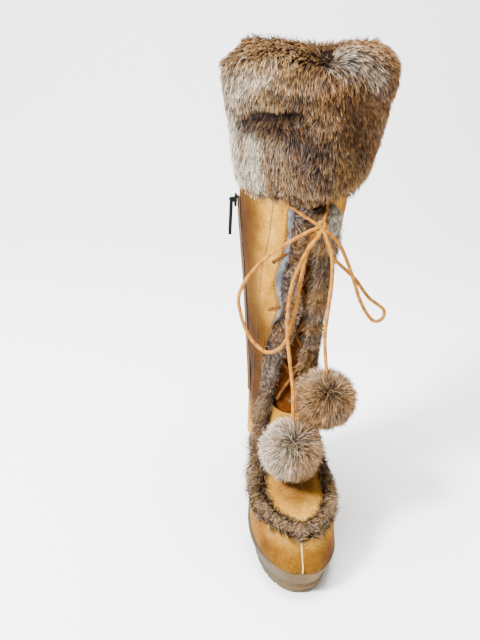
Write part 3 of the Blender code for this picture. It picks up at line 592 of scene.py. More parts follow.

# Tan suede: a short brushed nap that lies in blotches, light where it is brushed up and brown
# where it lies down; painted shade darkens it where it sits in a fold; no gloss, a faint sheen. Its grain
# is drawn 1.5 mm wide, coarser than real, so that it shows
def suede_finish(name, dark, middle, light, shade, shade_tinted=False):
    suede = new_finish(name)
    place = add_node(suede, "ShaderNodeTexCoord").outputs["Object"]
    blotch = add_node(suede, "ShaderNodeTexNoise", {
        "Vector": place, "Scale": per_metre(16.7), "Detail": 6.0, "Roughness": 0.6, "Distortion": 0.2})
    tones = add_node(suede, "ShaderNodeValToRGB", {"Fac": blotch.outputs["Fac"]},
                     stops=((0.28, dark), (0.5, middle), (0.74, light)))
    grain = add_node(suede, "ShaderNodeTexNoise", {"Vector": place, "Scale": per_metre(1.54), "Detail": 4.0})
    speck = add_node(suede, "ShaderNodeValToRGB", {"Fac": grain.outputs["Fac"]},
                     stops=((0.3, "A8A8A8"), (0.7, "FFFFFF")))
    napped = add_node(suede, "ShaderNodeMix", {0: 0.8, 6: tones.outputs["Color"], 7: speck.outputs["Color"]},
                      data_type="RGBA", blend_type="MULTIPLY")
    # Painted shade on the upper's sides, throat and apron, multiplied in from a per-corner attribute
    if shade_tinted:
        shade_tint = add_node(suede, "ShaderNodeAttribute", attribute_name="shade_tint")
        napped = add_node(suede, "ShaderNodeMix", {0: 1.0, 6: napped.outputs[2], 7: shade_tint.outputs["Color"]},
                          data_type="RGBA", blend_type="MULTIPLY")
    # Painted shade: the colour is drawn towards shade where the suede sits in a fold
    fold_shade = add_node(suede, "ShaderNodeAttribute", attribute_name="fold_shade")
    deepest = add_node(suede, "ShaderNodeMath", {0: fold_shade.outputs["Fac"], 1: 0.7},
                       operation="MULTIPLY", use_clamp=True)
    shaded = add_node(suede, "ShaderNodeMix", {
        0: deepest.outputs["Value"], 6: napped.outputs[2], 7: colour(shade)}, data_type="RGBA")
    relief = add_node(suede, "ShaderNodeBump", {
        "Height": grain.outputs["Fac"], "Strength": 0.5, "Distance": 0.0008})
    shader = add_node(suede, "ShaderNodeBsdfPrincipled", {
        "Base Color": shaded.outputs[2], "Roughness": 1.0, "Specular IOR Level": 0.05,
        "Sheen Weight": 0.02, "Sheen Roughness": 0.5, "Normal": relief.outputs["Normal"]})
    add_node(suede, "ShaderNodeOutputMaterial", {"Surface": shader.outputs["BSDF"]})
    return suede


tan_suede = suede_finish("tan napped suede", "9C681C", "BC862A", "D49E44", "4A2A06", shade_tinted=True)
# The flesh side of the hide inside the boot: paler and duller, left undyed
lining = suede_finish("undyed flesh side", "9A7B52", "B39468", "C6A97E", "5A4326")
upper = add_piece("suede_upper", bm, tan_suede, lining)
shell = upper.modifiers.new("wall", "SOLIDIFY")
shell.thickness = WALL
shell.offset = -1
shell.material_offset = 1
dress(upper, "upper")

# Insole
# A sock of board covered with the same undyed hide, cut to the foot bed. It lies loose on the
# platform inside the boot.
def give_finish(node, finish):
    """A new finish on a node whose solid is kept."""
    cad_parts[node].data.materials.clear()
    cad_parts[node].data.materials.append(finish)


give_finish("insole", lining)

# Tongue
# A long strip of darker, redder suede behind the throat, sewn in at its foot. It creases where
# the lace pulls it.
TONGUE, TONGUE_CLEAR, TONGUE_WIDTH = 0.0024, 0.0008, 0.054
TONGUE_TOP = COLLAR_HEIGHT - 0.028
EYELETS = (0.152, 0.199, 0.249, 0.302)
LACE = 0.0038


def tongue_inset(height):
    opened = ease(THROAT_FOOT - 0.004, THROAT_FOOT + 0.012, height)
    closing = 1 - ease(EYELETS[-1] + 0.06, EYELETS[-1] + 0.09, height)
    return WALL + TONGUE_CLEAR + (LACE - TONGUE_CLEAR - 2 * GAP) * opened * closing


tongue_steps = np.linspace(len(FOOT) - 0.5, section_at(TONGUE_TOP), 150)
tongue_across = np.linspace(-TONGUE_WIDTH / 2, TONGUE_WIDTH / 2, 24)
rows = []
for at in tongue_steps:
    height = section_values(at)[1]
    crease = 0.0006 * sin(height / 0.0085) * sin(height / 0.031) + 0.0004 * sin(height / 0.0047)
    inset = tongue_inset(height) + GAP + abs(crease)
    rows.append(skin(at, turn_to(at, tongue_across, inset), inset))
# The same napped suede in a darker, redder dye, worn flat by the lace, and made darker still as painted
# shade down the throat
red_suede = suede_finish("red-brown suede", "341804", "542A08", "744014", "1E0C02")
tongue = add_piece("suede_tongue", draw_sheet(np.array(rows), facing=(0, -1, 0)), red_suede)
shell = tongue.modifiers.new("wall", "SOLIDIFY")
shell.thickness = TONGUE - 0.0004
shell.offset = -1
dress(tongue, "tongue")

# Seams and stitches
# The panels are lapped and sewn with brown thread: a seam down the inner front, a row along the
# throat's edge, two rows up the back, and a raised seam down the toe in pale thread.
STITCH, STITCH_PITCH, STITCH_THICK = 0.0017, 0.0028, 0.0008
# Height and place across, in millimetres
PANEL_SEAM = ((362, -32.5), (355, -33), (320, -35), (287, -38.5), (258, -39), (225, -38), (190, -37),
              (160, -36))


def plain_finish(name, code, roughness, specular=0.5):
    """A finish of one colour all over."""
    finish = new_finish(name)
    shader = add_node(finish, "ShaderNodeBsdfPrincipled", {
        "Base Color": colour(code), "Roughness": roughness, "Specular IOR Level": specular})
    add_node(finish, "ShaderNodeOutputMaterial", {"Surface": shader.outputs["BSDF"]})
    return finish


# Waxed thread catches a little light where it rounds over the hide
brown_thread = plain_finish("dark brown waxed thread", "3A2008", 0.6)
pale_thread = plain_finish("pale waxed thread", "C8A860", 0.6)


def dense(places, spacing):
    """The same line with points at an even spacing, and the way along it."""
    walk = walked(places)
    even = np.arange(0, walk[-1], spacing)
    points = np.stack([np.interp(even, walk, places[:, k]) for k in range(3)], 1)
    return points, unit(np.gradient(points, axis=0))


def sew(name, lines, thread, turned=0.0):
    """Rows of stitches as one mesh: lines are places with the ways out of the hide."""
    bm = bmesh.new()
    for places, outs in lines:
        points, ahead = dense(places, STITCH_PITCH)
        nearest = [int(np.argmin(np.linalg.norm(places - p, axis=1))) for p in points]
        for point, way, k in zip(points, ahead, nearest):
            normal = Vector(outs[k])
            along = Vector(way)
            along = (along * cos(turned) + normal.cross(along) * sin(turned)).normalized()
            across = normal.cross(along).normalized()
            basis = Matrix((along * STITCH, across * STITCH_THICK * 1.6, normal * STITCH_THICK * 1.4))
            at = Matrix.Translation(Vector(point) + normal * STITCH_THICK * 0.4)
            bmesh.ops.create_icosphere(bm, subdivisions=1, radius=0.5,
                                       matrix=at @ basis.transposed().to_4x4())
    dress(add_piece(name, bm, thread))


def up_the_leg(route, steps=120):
    """Sections and turns up the upper's front through (height, place across) in millimetres."""
    route = sorted(route)
    heights = np.linspace(route[0][0] * MM, route[-1][0] * MM, steps)
    at = section_at(heights)
    return at, turn_to(at, across_at(route, heights))


def settle(at, turn, proud=0.0001):
    """Places on the folded suede and the ways out of it."""
    places, outs = skin(at, turn), skin_out(at, turn)
    swell = outs * [1, 1, 0] * lasted_swell(places)[:, None]
    return places + outs * (proud - fold_depth(places))[:, None] + swell, outs


edge_row = [(z, x - 2.5) for z, x in INNER_EDGE if 180 < z < 364]
back_at = np.linspace(section_at(0.10), LAST_SECTION - 0.2, 160)
back_rows = [settle(back_at, pi + aside) for aside in (-0.07, 0.07)]
sew("panel_stitches", [settle(*up_the_leg(PANEL_SEAM)), settle(*up_the_leg(edge_row))] + back_rows,
    brown_thread)
toe_at = np.linspace(0.6, 2.9, 60)
sew("toe_stitches", [settle(toe_at, -0.05, 0.0004)], pale_thread, turned=0.9)
# The toe's seam stands up as a fine welt
toe_line, toe_outs = settle(np.linspace(0.0, 2.9, 60), -0.02, 0.0002)
nose_top, nose_foot = skin(0.0, 0.0), skin(0.0, pi)
nose = nose_top + (nose_foot - nose_top) * np.linspace(0.9, 0.05, 16)[:, None]
nose = nose[nose[:, 2] > bed(nose[:, 1]) + 0.0006]
nose_outs = np.tile([0.0, -1.0, 0.0], (len(nose), 1))
nose = nose + nose_outs * (lasted_swell(nose) + 0.0008)[:, None]
toe_line, toe_outs = np.concatenate([nose, toe_line]), np.concatenate([nose_outs, toe_outs])
rows = [toe_line + np.array([s, 0, 0]) + toe_outs * h for s, h in
        ((-0.0007, -0.0004), (-0.0004, 0.0004), (0, 0.0006), (0.0004, 0.0004), (0.0007, -0.0004))]
dress(add_piece("toe_seam_welt", draw_sheet(np.stack(rows, 1)), pale_thread))

# Punched eyelets along both edges of the throat: flat discs whose dark colour is painted shade for the
# inside of each hole
bm = bmesh.new()
for x, z in ((-28, 301), (-30, 248), (-30, 199), (28, 301), (28, 248), (28, 199)):
    at = section_at(z * MM)
    turn = turn_to(at, x * MM)
    spot, out = Vector(skin(at, turn)), Vector(skin_out(at, turn))
    turned = out.to_track_quat("Z", "Y").to_matrix().to_4x4()
    bmesh.ops.create_circle(bm, cap_ends=True, segments=16, radius=0.0021,
                            matrix=Matrix.Translation(spot + out * 0.0003) @ turned)
dress(add_piece("punched_eyelets", bm, plain_finish("painted-shade punched hole", "1E1006", 1.0)))

# Fur round the apron
# A strip of rabbit skin sewn into the seam between apron and vamp, hair outwards. Under-fur
# fills the strip; over it lie guard hairs, dark at the root and light at the tip.
# Where the apron's trim runs: a section of the upper, and the share of its half width
Trim = namedtuple("Trim", "section side")
APRON = (
    Trim(11.5, 0.52),
    Trim(10.0, 0.70),
    Trim(8.8, 0.80),
    Trim(7.5, 0.84),
    Trim(6.0, 0.84),
    Trim(4.8, 0.79),
    Trim(3.8, 0.62),
    Trim(3.00, 0.34),
    Trim(2.70, 0.00),
)
# Colours of the pile from root to tip
BLUE = ("0A0C12", "2A303E", "9098A8")
GOLDEN = ("1A0E04", "6A4216", "EEC078")
BROWN = ("0C0704", "4A2A14", "B0783E")
GREY = ("1A1816", "5A4E44", "E6D2B6")
CREAM = ("5A5242", "C8BA9A", "FFFCF0")
TAN = ("2A1A0C", "8A5E34", "D0A068")
DARK = ("040302", "140B06", "4A2E16")
HAIR_WIDTH, BED_SUNK = 0.0006, 0.0005
# How far along a hair each of its cross edges lies; the last one is the tip
HAIR_STEPS = (0.0, 0.36, 0.72, 1.0)
# How far along it the root, middle and tip colours lie
PILE_KEYS = (0.0, 0.62, 1.0)

# Rabbit fur: each hair keeps its own colour from root to tip in the attribute pile; dry, with
# only a faint gloss along it
pile_fur = new_finish("rabbit fur pile")
pile = add_node(pile_fur, "ShaderNodeAttribute", attribute_name="pile")
place = add_node(pile_fur, "ShaderNodeTexCoord").outputs["Object"]
fleck = add_node(pile_fur, "ShaderNodeTexNoise", {"Vector": place, "Scale": per_metre(3.85), "Detail": 3.0})
flecks = add_node(pile_fur, "ShaderNodeValToRGB", {"Fac": fleck.outputs["Fac"]},
                  stops=((0.3, "B0B0B0"), (0.65, "FFFFFF")))
coat = add_node(pile_fur, "ShaderNodeMix", {0: 1.0, 6: pile.outputs["Color"], 7: flecks.outputs["Color"]},
                data_type="RGBA", blend_type="MULTIPLY")
hair_shader = add_node(pile_fur, "ShaderNodeBsdfPrincipled", {
    "Base Color": coat.outputs[2], "Roughness": 0.6, "Specular IOR Level": 0.16})
add_node(pile_fur, "ShaderNodeOutputMaterial", {"Surface": hair_shader.outputs["BSDF"]})


def palette(*shares):
    """Root, middle and tip colours of each hair, from (pile, share) pairs: partly the mix of the
    piles, partly the one pile that the hair draws."""
    piles = np.array([[colour(code)[:3] for code in pile] for pile, _ in shares])
    weights = np.stack(np.broadcast_arrays(*[share for _, share in shares]), 1)
    weights = weights / weights.sum(1, keepdims=True)
    drawn = (rng.random((len(weights), 1)) > np.cumsum(weights, 1)).sum(1).clip(max=len(piles) - 1)
    return 0.4 * np.tensordot(weights, piles, 1) + 0.6 * piles[drawn]


def sow(places, count):
    """Random points on a grid of places: where, the way out, and their row and column."""
    corner, ahead, aside = places[:-1, :-1], places[1:, :-1], places[:-1, 1:]
    normal = np.cross(aside - corner, ahead - corner)
    area = np.linalg.norm(normal, axis=-1)
    r, c = np.divmod(rng.choice(area.size, count, p=(area / area.sum()).ravel()), area.shape[1])
    u, v = rng.random(count), rng.random(count)
    low = places[r, c] * (1 - v)[:, None] + places[r, c + 1] * v[:, None]
    high = places[r + 1, c] * (1 - v)[:, None] + places[r + 1, c + 1] * v[:, None]
    return low * (1 - u)[:, None] + high * u[:, None], unit(normal[r, c]), r + u, c + v


def lay_down(out, flow):
    """flow drawn flat onto the surface whose way out is given."""
    return unit(flow - out * (flow * out).sum(-1, keepdims=True))


def blade_mesh(name, corners):
    """Blades in one mesh; corners holds, blade by blade, the pairs up its edges and its tip."""
    count, per = corners.shape[:2]
    spans = len(HAIR_STEPS) - 2
    base = (np.arange(count) * per)[:, None]
    quads = [base + np.array([2 * k, 2 * k + 1, 2 * k + 3, 2 * k + 2]) for k in range(spans)]
    loops = np.concatenate(quads + [base + np.array([per - 3, per - 2, per - 1])], 1).ravel()
    sizes = np.tile([4] * spans + [3], count)
    starts = np.concatenate([[0], np.cumsum(sizes)[:-1]])
    mesh = bpy.data.meshes.new(name)
    mesh.vertices.add(count * per)
    mesh.vertices.foreach_set("co", corners.astype(np.float32).ravel())
    mesh.loops.add(len(loops))
    mesh.loops.foreach_set("vertex_index", loops.astype(np.int32))
    mesh.polygons.add(len(sizes))
    mesh.polygons.foreach_set("loop_start", starts.astype(np.int32))
    mesh.update(calc_edges=True)
    mesh.validate()
    mesh.shade_smooth()
    mesh.materials.append(pile_fur)
    return mesh


def pile_colours(tones, near):
    """Colours up each blade; some hairs and some tufts are darker than others."""
    count = len(tones)
    tone = np.interp(np.repeat(HAIR_STEPS, 2)[:-1], PILE_KEYS, [0, 1, 2])
    low = np.floor(tone).astype(int).clip(0, 1)
    mix = (tone - low)[:, None]
    shade = tones[:, low] * (1 - mix) + tones[:, low + 1] * mix
    shade = shade * rng.uniform(0.55, 1.4, (count, 1, 1))
    shade = shade * rng.uniform(0.62, 1.25, (count, 1, 1))[near]
    return np.concatenate([shade, np.ones((*shade.shape[:2], 1))], 2)


def grow_hair(name, root, out, lay, length, lift, tones, width, tuft, pull=0.72, bend=0.5):
    """Hairs that leave the skin at lift, bend over along lay and lean together in tufts."""
    count = len(root)
    length, lift = np.broadcast_to(length, count), np.broadcast_to(lift, count)
    length = length * rng.uniform(0.72, 1.18, count)
    sideways = unit(np.cross(lay, out))
    lay = unit(lay + sideways * rng.normal(0, 0.22, (count, 1)) + out * rng.normal(0, 0.12, (count, 1)))
    heads = rng.choice(count, max(count // tuft, 1), replace=False)
    tree = KDTree(len(heads))
    for k, head in enumerate(heads):
        tree.insert(root[head], k)
    tree.balance()
    near = heads[np.array([tree.find(point)[1] for point in root])]
    lines = []
    for t in HAIR_STEPS:
        height, reach = lift * t - bend * lift * t * t, t * np.sqrt(1 - 0.6 * lift)
        lines.append(root + length[:, None] * (out * height[:, None] + lay * reach[:, None]))
    lines = np.array(lines)
    for k, t in enumerate(HAIR_STEPS):
        lines[k] += (lines[-1][near] - lines[-1]) * (pull * t ** 1.7) * (0.5 + 0.5 * rng.random((count, 1)))
    roll = rng.normal(0, 0.7, count)[:, None]
    side = unit(np.cross(lay, out) * np.cos(roll) + out * np.sin(roll))
    half = [side * (width / 2) * (1 - 0.75 * t ** 2) for t in HAIR_STEPS[:-1]]
    half[0] = half[0] * (0.6 + 0.8 * rng.random((count, 1)))
    corners = [line + way * edge for line, edge in zip(lines, half) for way in (-1, 1)]
    mesh = blade_mesh(name, np.stack(corners + [lines[-1]], 1))
    pile = mesh.attributes.new("pile", "FLOAT_COLOR", "POINT")
    pile.data.foreach_set("color", pile_colours(tones, near).astype(np.float32).ravel())
    return dress(add_object(name, mesh))


def cloudy_finish(name, size, detail, stops, roughness, specular=0.5, relief=None):
    """A finish coloured by clouds size millimetres wide; relief is a bump's strength and depth."""
    finish = new_finish(name)
    place = add_node(finish, "ShaderNodeTexCoord").outputs["Object"]
    cloud = add_node(finish, "ShaderNodeTexNoise", {
        "Vector": place, "Scale": per_metre(size), "Detail": detail})
    tone = add_node(finish, "ShaderNodeValToRGB", {"Fac": cloud.outputs["Fac"]}, stops=stops)
    sockets = {"Base Color": tone.outputs["Color"], "Roughness": roughness, "Specular IOR Level": specular}
    if relief:
        bump = add_node(finish, "ShaderNodeBump", {
            "Height": cloud.outputs["Fac"], "Strength": relief[0], "Distance": relief[1]})
        sockets["Normal"] = bump.outputs["Normal"]
    shader = add_node(finish, "ShaderNodeBsdfPrincipled", sockets)
    add_node(finish, "ShaderNodeOutputMaterial", {"Surface": shader.outputs["BSDF"]})
    return finish


# The skin and the short under-fur that the hairs stand on: dark, dull and fuzzy, its near-black partly
# painted shade deep in the pile
under_fur = cloudy_finish("dense under-fur", 3.33, 5.0, ((0.3, "080504"), (0.6, "1C120A"), (0.8, "382616")),
                          roughness=1.0, specular=0.1, relief=(1.0, 0.002))


# Where hairs are sown on a strip: the share up it, the share of its half width across it, the ways
# across and along it, and the place
Sown = namedtuple("Sown", "up across side ahead where")


def fur_bed(route, outs, half, high):
    """A low rounded strip over a route on the upper, open underneath, and its way across."""
    side = unit(np.cross(np.gradient(route, axis=0), outs))
    steps = np.arange(len(route))
    taper = np.minimum(1, (np.minimum(steps, steps[::-1]) + 1) / 5)[:, None]
    rows = [route + side * half * taper * np.cos(turn) + outs * (high * taper * np.sin(turn) - BED_SUNK)
            for turn in np.linspace(0, pi, 12)]
    return np.stack(rows, 1), side


def fur_strip(name, node, line, outs, half, high, count, length, lift, flow, tones, tuft, edge,
              fuller=(0.0, 0.0)):
    """A strip of fur along a line on the suede. Its hair is longer by the share edge at its
    edges, and by more about a share up it."""
    places, side = fur_bed(line, outs, half, high)
    dress(add_piece(name + "_under_fur", draw_sheet(places), under_fur), node)
    where, out, row, _ = sow(places, count)
    k = np.clip(row.astype(int), 0, len(line) - 1)
    out = out * np.sign((out * outs[k]).sum(-1, keepdims=True))
    across = ((where - line[k]) * side[k]).sum(-1) / half
    sown = Sown(row / (len(line) - 1), across, side[k], unit(np.gradient(line, axis=0))[k], where)
    share_up, more = fuller
    length = length * (1 + edge * np.abs(across) + more * np.exp(-((sown.up - share_up) / 0.09) ** 2))
    lay = lay_down(out, flow(sown) + rng.normal(0, 0.32, (count, 3)))
    grow_hair(name + "_fur", where, out, lay, length, lift, tones(sown), HAIR_WIDTH, tuft)


def apron_flow(sown):
    spread = sown.side * (-np.sign(sown.across) * np.abs(sown.across) ** 0.6)[:, None]
    swirl = sown.ahead * (0.25 * np.sin(sown.up * 70) + 0.2 * np.sin(sown.up * 31))[:, None]
    return spread + swirl + np.array([0, -0.25, -0.3])


def apron_tones(sown):
    """Darker where the pile parts and round the inner side, fairer along its edges."""
    up, edgeward = sown.up, np.abs(sown.across)
    parted = np.exp(-(edgeward / 0.4) ** 2) * (0.5 + 0.5 * np.sin(up * 46 + 2 * np.sin(up * 17)))
    fair = ease(0.2, 0.9, np.sin(up * 33 + 1)) * edgeward
    outside = ease(0.52, 0.75, up)
    inside = ease(0.46, 0.3, up)
    dark = 0.4 + 0.5 * (1 - edgeward) + 0.9 * inside
    return palette((BROWN, 1.1 + 0.3 * outside), (DARK, dark), (BLUE, 0.4 * parted),
                   (GOLDEN, 0.7 + 0.9 * fair + 0.5 * outside), (GREY, 1.0 + 0.5 * fair))


keys = range(len(APRON))
share = np.linspace(0, len(APRON) - 1, 60)
apron_section = smooth(keys, [row.section for row in APRON], share)
apron_side = smooth(keys, [row.side for row in APRON], share)
apron_section = np.concatenate([apron_section, apron_section[-2::-1]])
apron_side = np.concatenate([-apron_side, apron_side[-2::-1]])
apron_turn = front_turn(apron_side, section_values(apron_section)[6])
fur_strip("apron", "fur_trim_apron", skin(apron_section, apron_turn), skin_out(apron_section, apron_turn),
          half=0.0072, high=0.0034, count=17000, length=0.0112, lift=0.75,
          flow=apron_flow, tones=apron_tones, tuft=8, edge=0.45, fuller=(0.17, 0.9))

# Fur down the throat
# Two strips of the same skin edge the throat. The outer one lies hair outwards; the inner one
# has flopped over, so that its blue-grey skin side shows beside the suede.
CUFF_BOTTOM = COLLAR_HEIGHT - 0.139
CUFF_TOP = COLLAR_HEIGHT + 0.014
# Middle lines of the strips: height and place across, in millimetres
OUTER_STRIP = ((140, 15), (178, 16.5), (230, 19), (272, 21.5), (315, 22.5), (364, 21))
INNER_STRIP = ((132, -31), (165, -24), (190, -22), (215, -18.5), (232, -13), (251, -8.5), (280, -11.5),
               (316, -7), (340, -6.5), (362, -7))


def strip_line(route):
    """Places up a strip's middle line and the way out of the suede there."""
    at, turn = up_the_leg(route, 110)
    return skin(at, turn), skin_out(at, turn)


def off_outer_line(where):
    """How far outwards of the outer strip's middle line hairs stand, as a share of 9 mm."""
    return (where[:, 0] - across_at(OUTER_STRIP, where[:, 2])) / 0.009


def outer_flow(sown):
    sway = 0.5 * np.sin(sown.up * 38) + 0.4 * np.sin(sown.up * 17 + 1)
    return np.stack([0.9 * off_outer_line(sown.where) + 0.3 * sway, 0 * sway, -0.75 + 0.2 * sway], 1)


def outer_tones(sown):
    """Brown with grey waves, darker towards the throat, and a cream tuft beside the knot."""
    share, over = sown.up, off_outer_line(sown.where)
    wavy = 0.5 + 0.5 * np.sin(share * 33 + 1.5 * np.sin(share * 14))
    tuft = ease(0.80, 0.90, share) * ease(-0.2, 0.5, over)
    throat_side = ease(0.1, -0.7, over)
    knotted = np.exp(-((share - 0.74) / 0.07) ** 2) + ease(0.22, 0.05, share)
    return palette((BROWN, 0.9), (DARK, 0.5 * throat_side + 1.2 * knotted), (CREAM, 14 * tuft),
                   (GOLDEN, 1.3 * wavy), (GREY, 0.8 * (1 - wavy) + 0.5 * throat_side))


def inner_flow(sown):
    share = sown.up
    low = ease(0.42, 0.2, share)
    outwards = 0.95 - 1.1 * low * ease(0.0, -0.6, -sown.across)
    return np.stack([outwards, 0 * share, -0.35 - 0.4 * low + 0.35 * np.sin(share * 40)], 1)


def inner_tones(sown):
    """Grey and golden in turn, darker and bluer low down."""
    share = sown.up
    wavy = 0.5 + 0.5 * np.sin(share * 29 + 1.5 * np.sin(share * 12))
    low = ease(0.45, 0.15, share)
    return palette((BROWN, 1.0), (GREY, 1.1 * wavy), (GOLDEN, 0.7 * (1 - wavy)),
                   (BLUE, 0.3 + 0.4 * low), (DARK, 0.2 + 0.6 * low))


line, outs = strip_line(OUTER_STRIP)
fur_strip("outer_facing", "fur_trim_outer", line, outs, half=0.0068, high=0.0034, count=18000, length=0.0128,
          lift=0.66, flow=outer_flow, tones=outer_tones, tuft=9, edge=0.3, fuller=(0.88, 0.6))
line, outs = strip_line(INNER_STRIP)
fur_strip("inner_facing", "fur_trim_inner", line, outs, half=0.0054, high=0.0032, count=14000, length=0.0098,
          lift=0.66, flow=inner_flow, tones=inner_tones, tuft=9, edge=0.3)

# The bare side of the pelt, mottled and slightly smooth
pelt = cloudy_finish("blue-grey skin side", 8.33, 4.0, ((0.3, "2A2B2E"), (0.55, "4A4C50"), (0.75, "7A7C7E")),
                     roughness=0.7)

# The flopped skin side, from under the suede's edge up and over to the hair: how far over and how
# proud, in metres
PELT_PROFILE = ((-0.002, -0.0012), (0.0002, 0.0008), (0.002, 0.0022), (0.004, 0.0030),
                (0.006, 0.0028), (0.0085, 0.0016))
heights = np.linspace(0.232, CUFF_BOTTOM + 0.008, 80)
at = section_at(heights)
edge = throat_edge(heights, -1)
rows = []
for over, proud in PELT_PROFILE:
    turn = turn_to(at, edge - 0.002 + (over + 0.002) * ease(0.226, 0.262, heights))
    rows.append(skin(at, turn) + skin_out(at, turn) * (proud + 0.0006 * np.sin(heights / 0.011))[:, None])
bm = draw_sheet(np.stack(rows, 1), facing=(0, -1, 0))
bmesh.ops.subdivide_edges(bm, edges=bm.edges, cuts=1, use_grid_fill=True)
dress(add_piece("flopped_skin_side", bm, pelt))

# Cuff
# A deep band of rabbit skins folded down over the collar, hair outwards and brushed down, its
# two ends closed at the front. Its top rolls over into the boot.
CUFF_REACH = 0.095
CUFF_NOTCH, CUFF_LIFT = 0.008, 0.010
NOTCH_TURN, NOTCH_WIDTH = 0.12, 0.3
NOTCH_AT = (0.006, -0.006, 0.492)
CUFF_COLUMNS = 181
# The cuff's outside: a share of its height, and its reach to each side as shares of CUFF_REACH
Cuff = namedtuple("Cuff", "height inner outer front back")
CUFF = (
    Cuff(-0.03, 0.52, 0.48, 0.60, 0.60),
    Cuff(0.00, 0.64, 0.63, 0.76, 0.78),
    Cuff(0.09, 0.69, 0.69, 0.82, 0.83),
    Cuff(0.22, 0.74, 0.75, 0.86, 0.88),
    Cuff(0.42, 0.79, 0.82, 0.88, 0.90),
    Cuff(0.62, 0.85, 0.87, 0.89, 0.91),
    Cuff(0.80, 0.87, 0.92, 0.88, 0.91),
    Cuff(0.93, 0.80, 0.86, 0.80, 0.85),
    Cuff(1.00, 0.64, 0.69, 0.64, 0.68),
)
# How far the under-fur lies inside the tips of the hair
PILE_DEPTH = 0.0034
# Creases where two skins meet or the pile parts: ends, width and depth, in millimetres
PARTINGS = (
    Fold((-66, 30, 441), (-52, 2, 447), 8, 3.5),
    Fold((-52, 2, 447), (-20, -20, 452), 8, 5.5),
    Fold((-46, -10, 468), (-14, -20, 464), 5, 3.0),
    Fold((-6, -12, 487), (13, -2, 496), 4, 2.0),
    Fold((-66, 14, 462), (-16, -20, 463), 9, -3.5),
    Fold((-8, -22, 440), (-2, -22, 424), 6, 2.0),
    Fold((66, 40, 430), (60, 40, 400), 7, 2.0),
)
# Where each colour of pile lies: two ends of a soft patch, its width in millimetres, and its weight
Patch = namedtuple("Patch", "pile start end width weight")
PATCHES = (
    Patch(CREAM, (-76, 50, 428), (-70, 45, 362), 18, 6.0),
    Patch(CREAM, (-60, 8, 422), (-54, 4, 366), 9, 7.0),
    Patch(CREAM, (-72, 30, 470), (-50, -8, 482), 13, 1.2),
    Patch(GREY, (-74, 30, 478), (-62, 5, 470), 10, 1.6),
    Patch(GREY, (-40, -14, 420), (-30, -20, 380), 12, 1.6),
    Patch(DARK, (-12, -22, 412), (10, -20, 396), 12, 1.6),
    Patch(BLUE, (-30, -20, 432), (-24, -20, 424), 8, 1.6),
    Patch(BLUE, (-8, -22, 428), (-6, -22, 400), 5, 1.8),
    Patch(BLUE, (14, -8, 492), (24, -4, 488), 6, 1.5),
    Patch(CREAM, (18, -4, 494), (44, 4, 486), 9, 2.2),
    # Painted shade: these two dark patches lie under the overhanging fold and down the parting at the front
    Patch(DARK, (-22, -20, 438), (2, -20, 424), 9, 4.5),
    Patch(DARK, (-60, 14, 437), (-24, -20, 441), 7, 4.5),
    Patch(DARK, (20, -14, 462), (48, 6, 412), 10, 2.2),
    Patch(BROWN, (22, -12, 480), (66, 25, 420), 20, 1.8),
    Patch(GOLDEN, (30, -6, 400), (50, 10, 376), 13, 1.6),
    Patch(TAN, (84, 45, 490), (66, 40, 400), 22, 4.5),
    Patch(TAN, (66, 20, 506), (-60, 6, 508), 13, 3.0),
    Patch(GOLDEN, (-66, 20, 490), (-20, -12, 494), 18, 1.3),
    Patch(GOLDEN, (-50, -4, 468), (-40, -12, 456), 9, 1.4),
    Patch(GOLDEN, (-10, -20, 372), (30, -14, 372), 9, 0.9),
    Patch(GOLDEN, (0, 150, 500), (0, 150, 380), 60, 0.9),
    Patch(GREY, (60, 110, 470), (30, 140, 400), 26, 1.2),
    Patch(CREAM, (-70, 100, 400), (-50, 130, 380), 22, 2.0),
)


def cuff_place(height, turn, inset=0.0):
    """A place on the cuff's outside: height is a share of its drop."""
    keys = [row.height for row in CUFF]
    inner, outer, front, back = (smooth(keys, [getattr(row, name) for row in CUFF], height)
                                 for name in ("inner", "outer", "front", "back"))
    side = np.where(np.sin(turn) >= 0, outer, inner)
    deep = np.where(np.cos(turn) >= 0, front, back)
    wave = 1 + 0.02 * np.sin(5 * turn + 3 * height) + 0.015 * np.sin(9 * turn)
    x = (CUFF_REACH * side * wave - inset) * np.sin(turn)
    y = LEG_AXIS - (CUFF_REACH * deep * wave - inset) * np.cos(turn)
    off = np.abs((turn - NOTCH_TURN + pi) % (2 * pi) - pi)
    dip = CUFF_NOTCH * np.maximum(0, 1 - off / NOTCH_WIDTH) * ease(0.5, 1.0, height)
    lift = CUFF_LIFT * np.maximum(0, np.sin(turn)) * (1 - np.maximum(height, 0))
    rim = ease(0.75, 1.0, height) * (
        -0.013 * ease(-0.050, -0.095, x) - 0.004 * np.exp(-((x + 0.005) / 0.022) ** 2)
        + 0.002 * np.exp(-((x - 0.040) / 0.025) ** 2) - 0.010 * ease(0.065, 0.095, x)
        - 0.006 * ease(0.03, 0.09, y))
    z = CUFF_BOTTOM + (CUFF_TOP - CUFF_BOTTOM) * height - dip + lift + rim
    return np.stack([x, y + dip, z], -1)


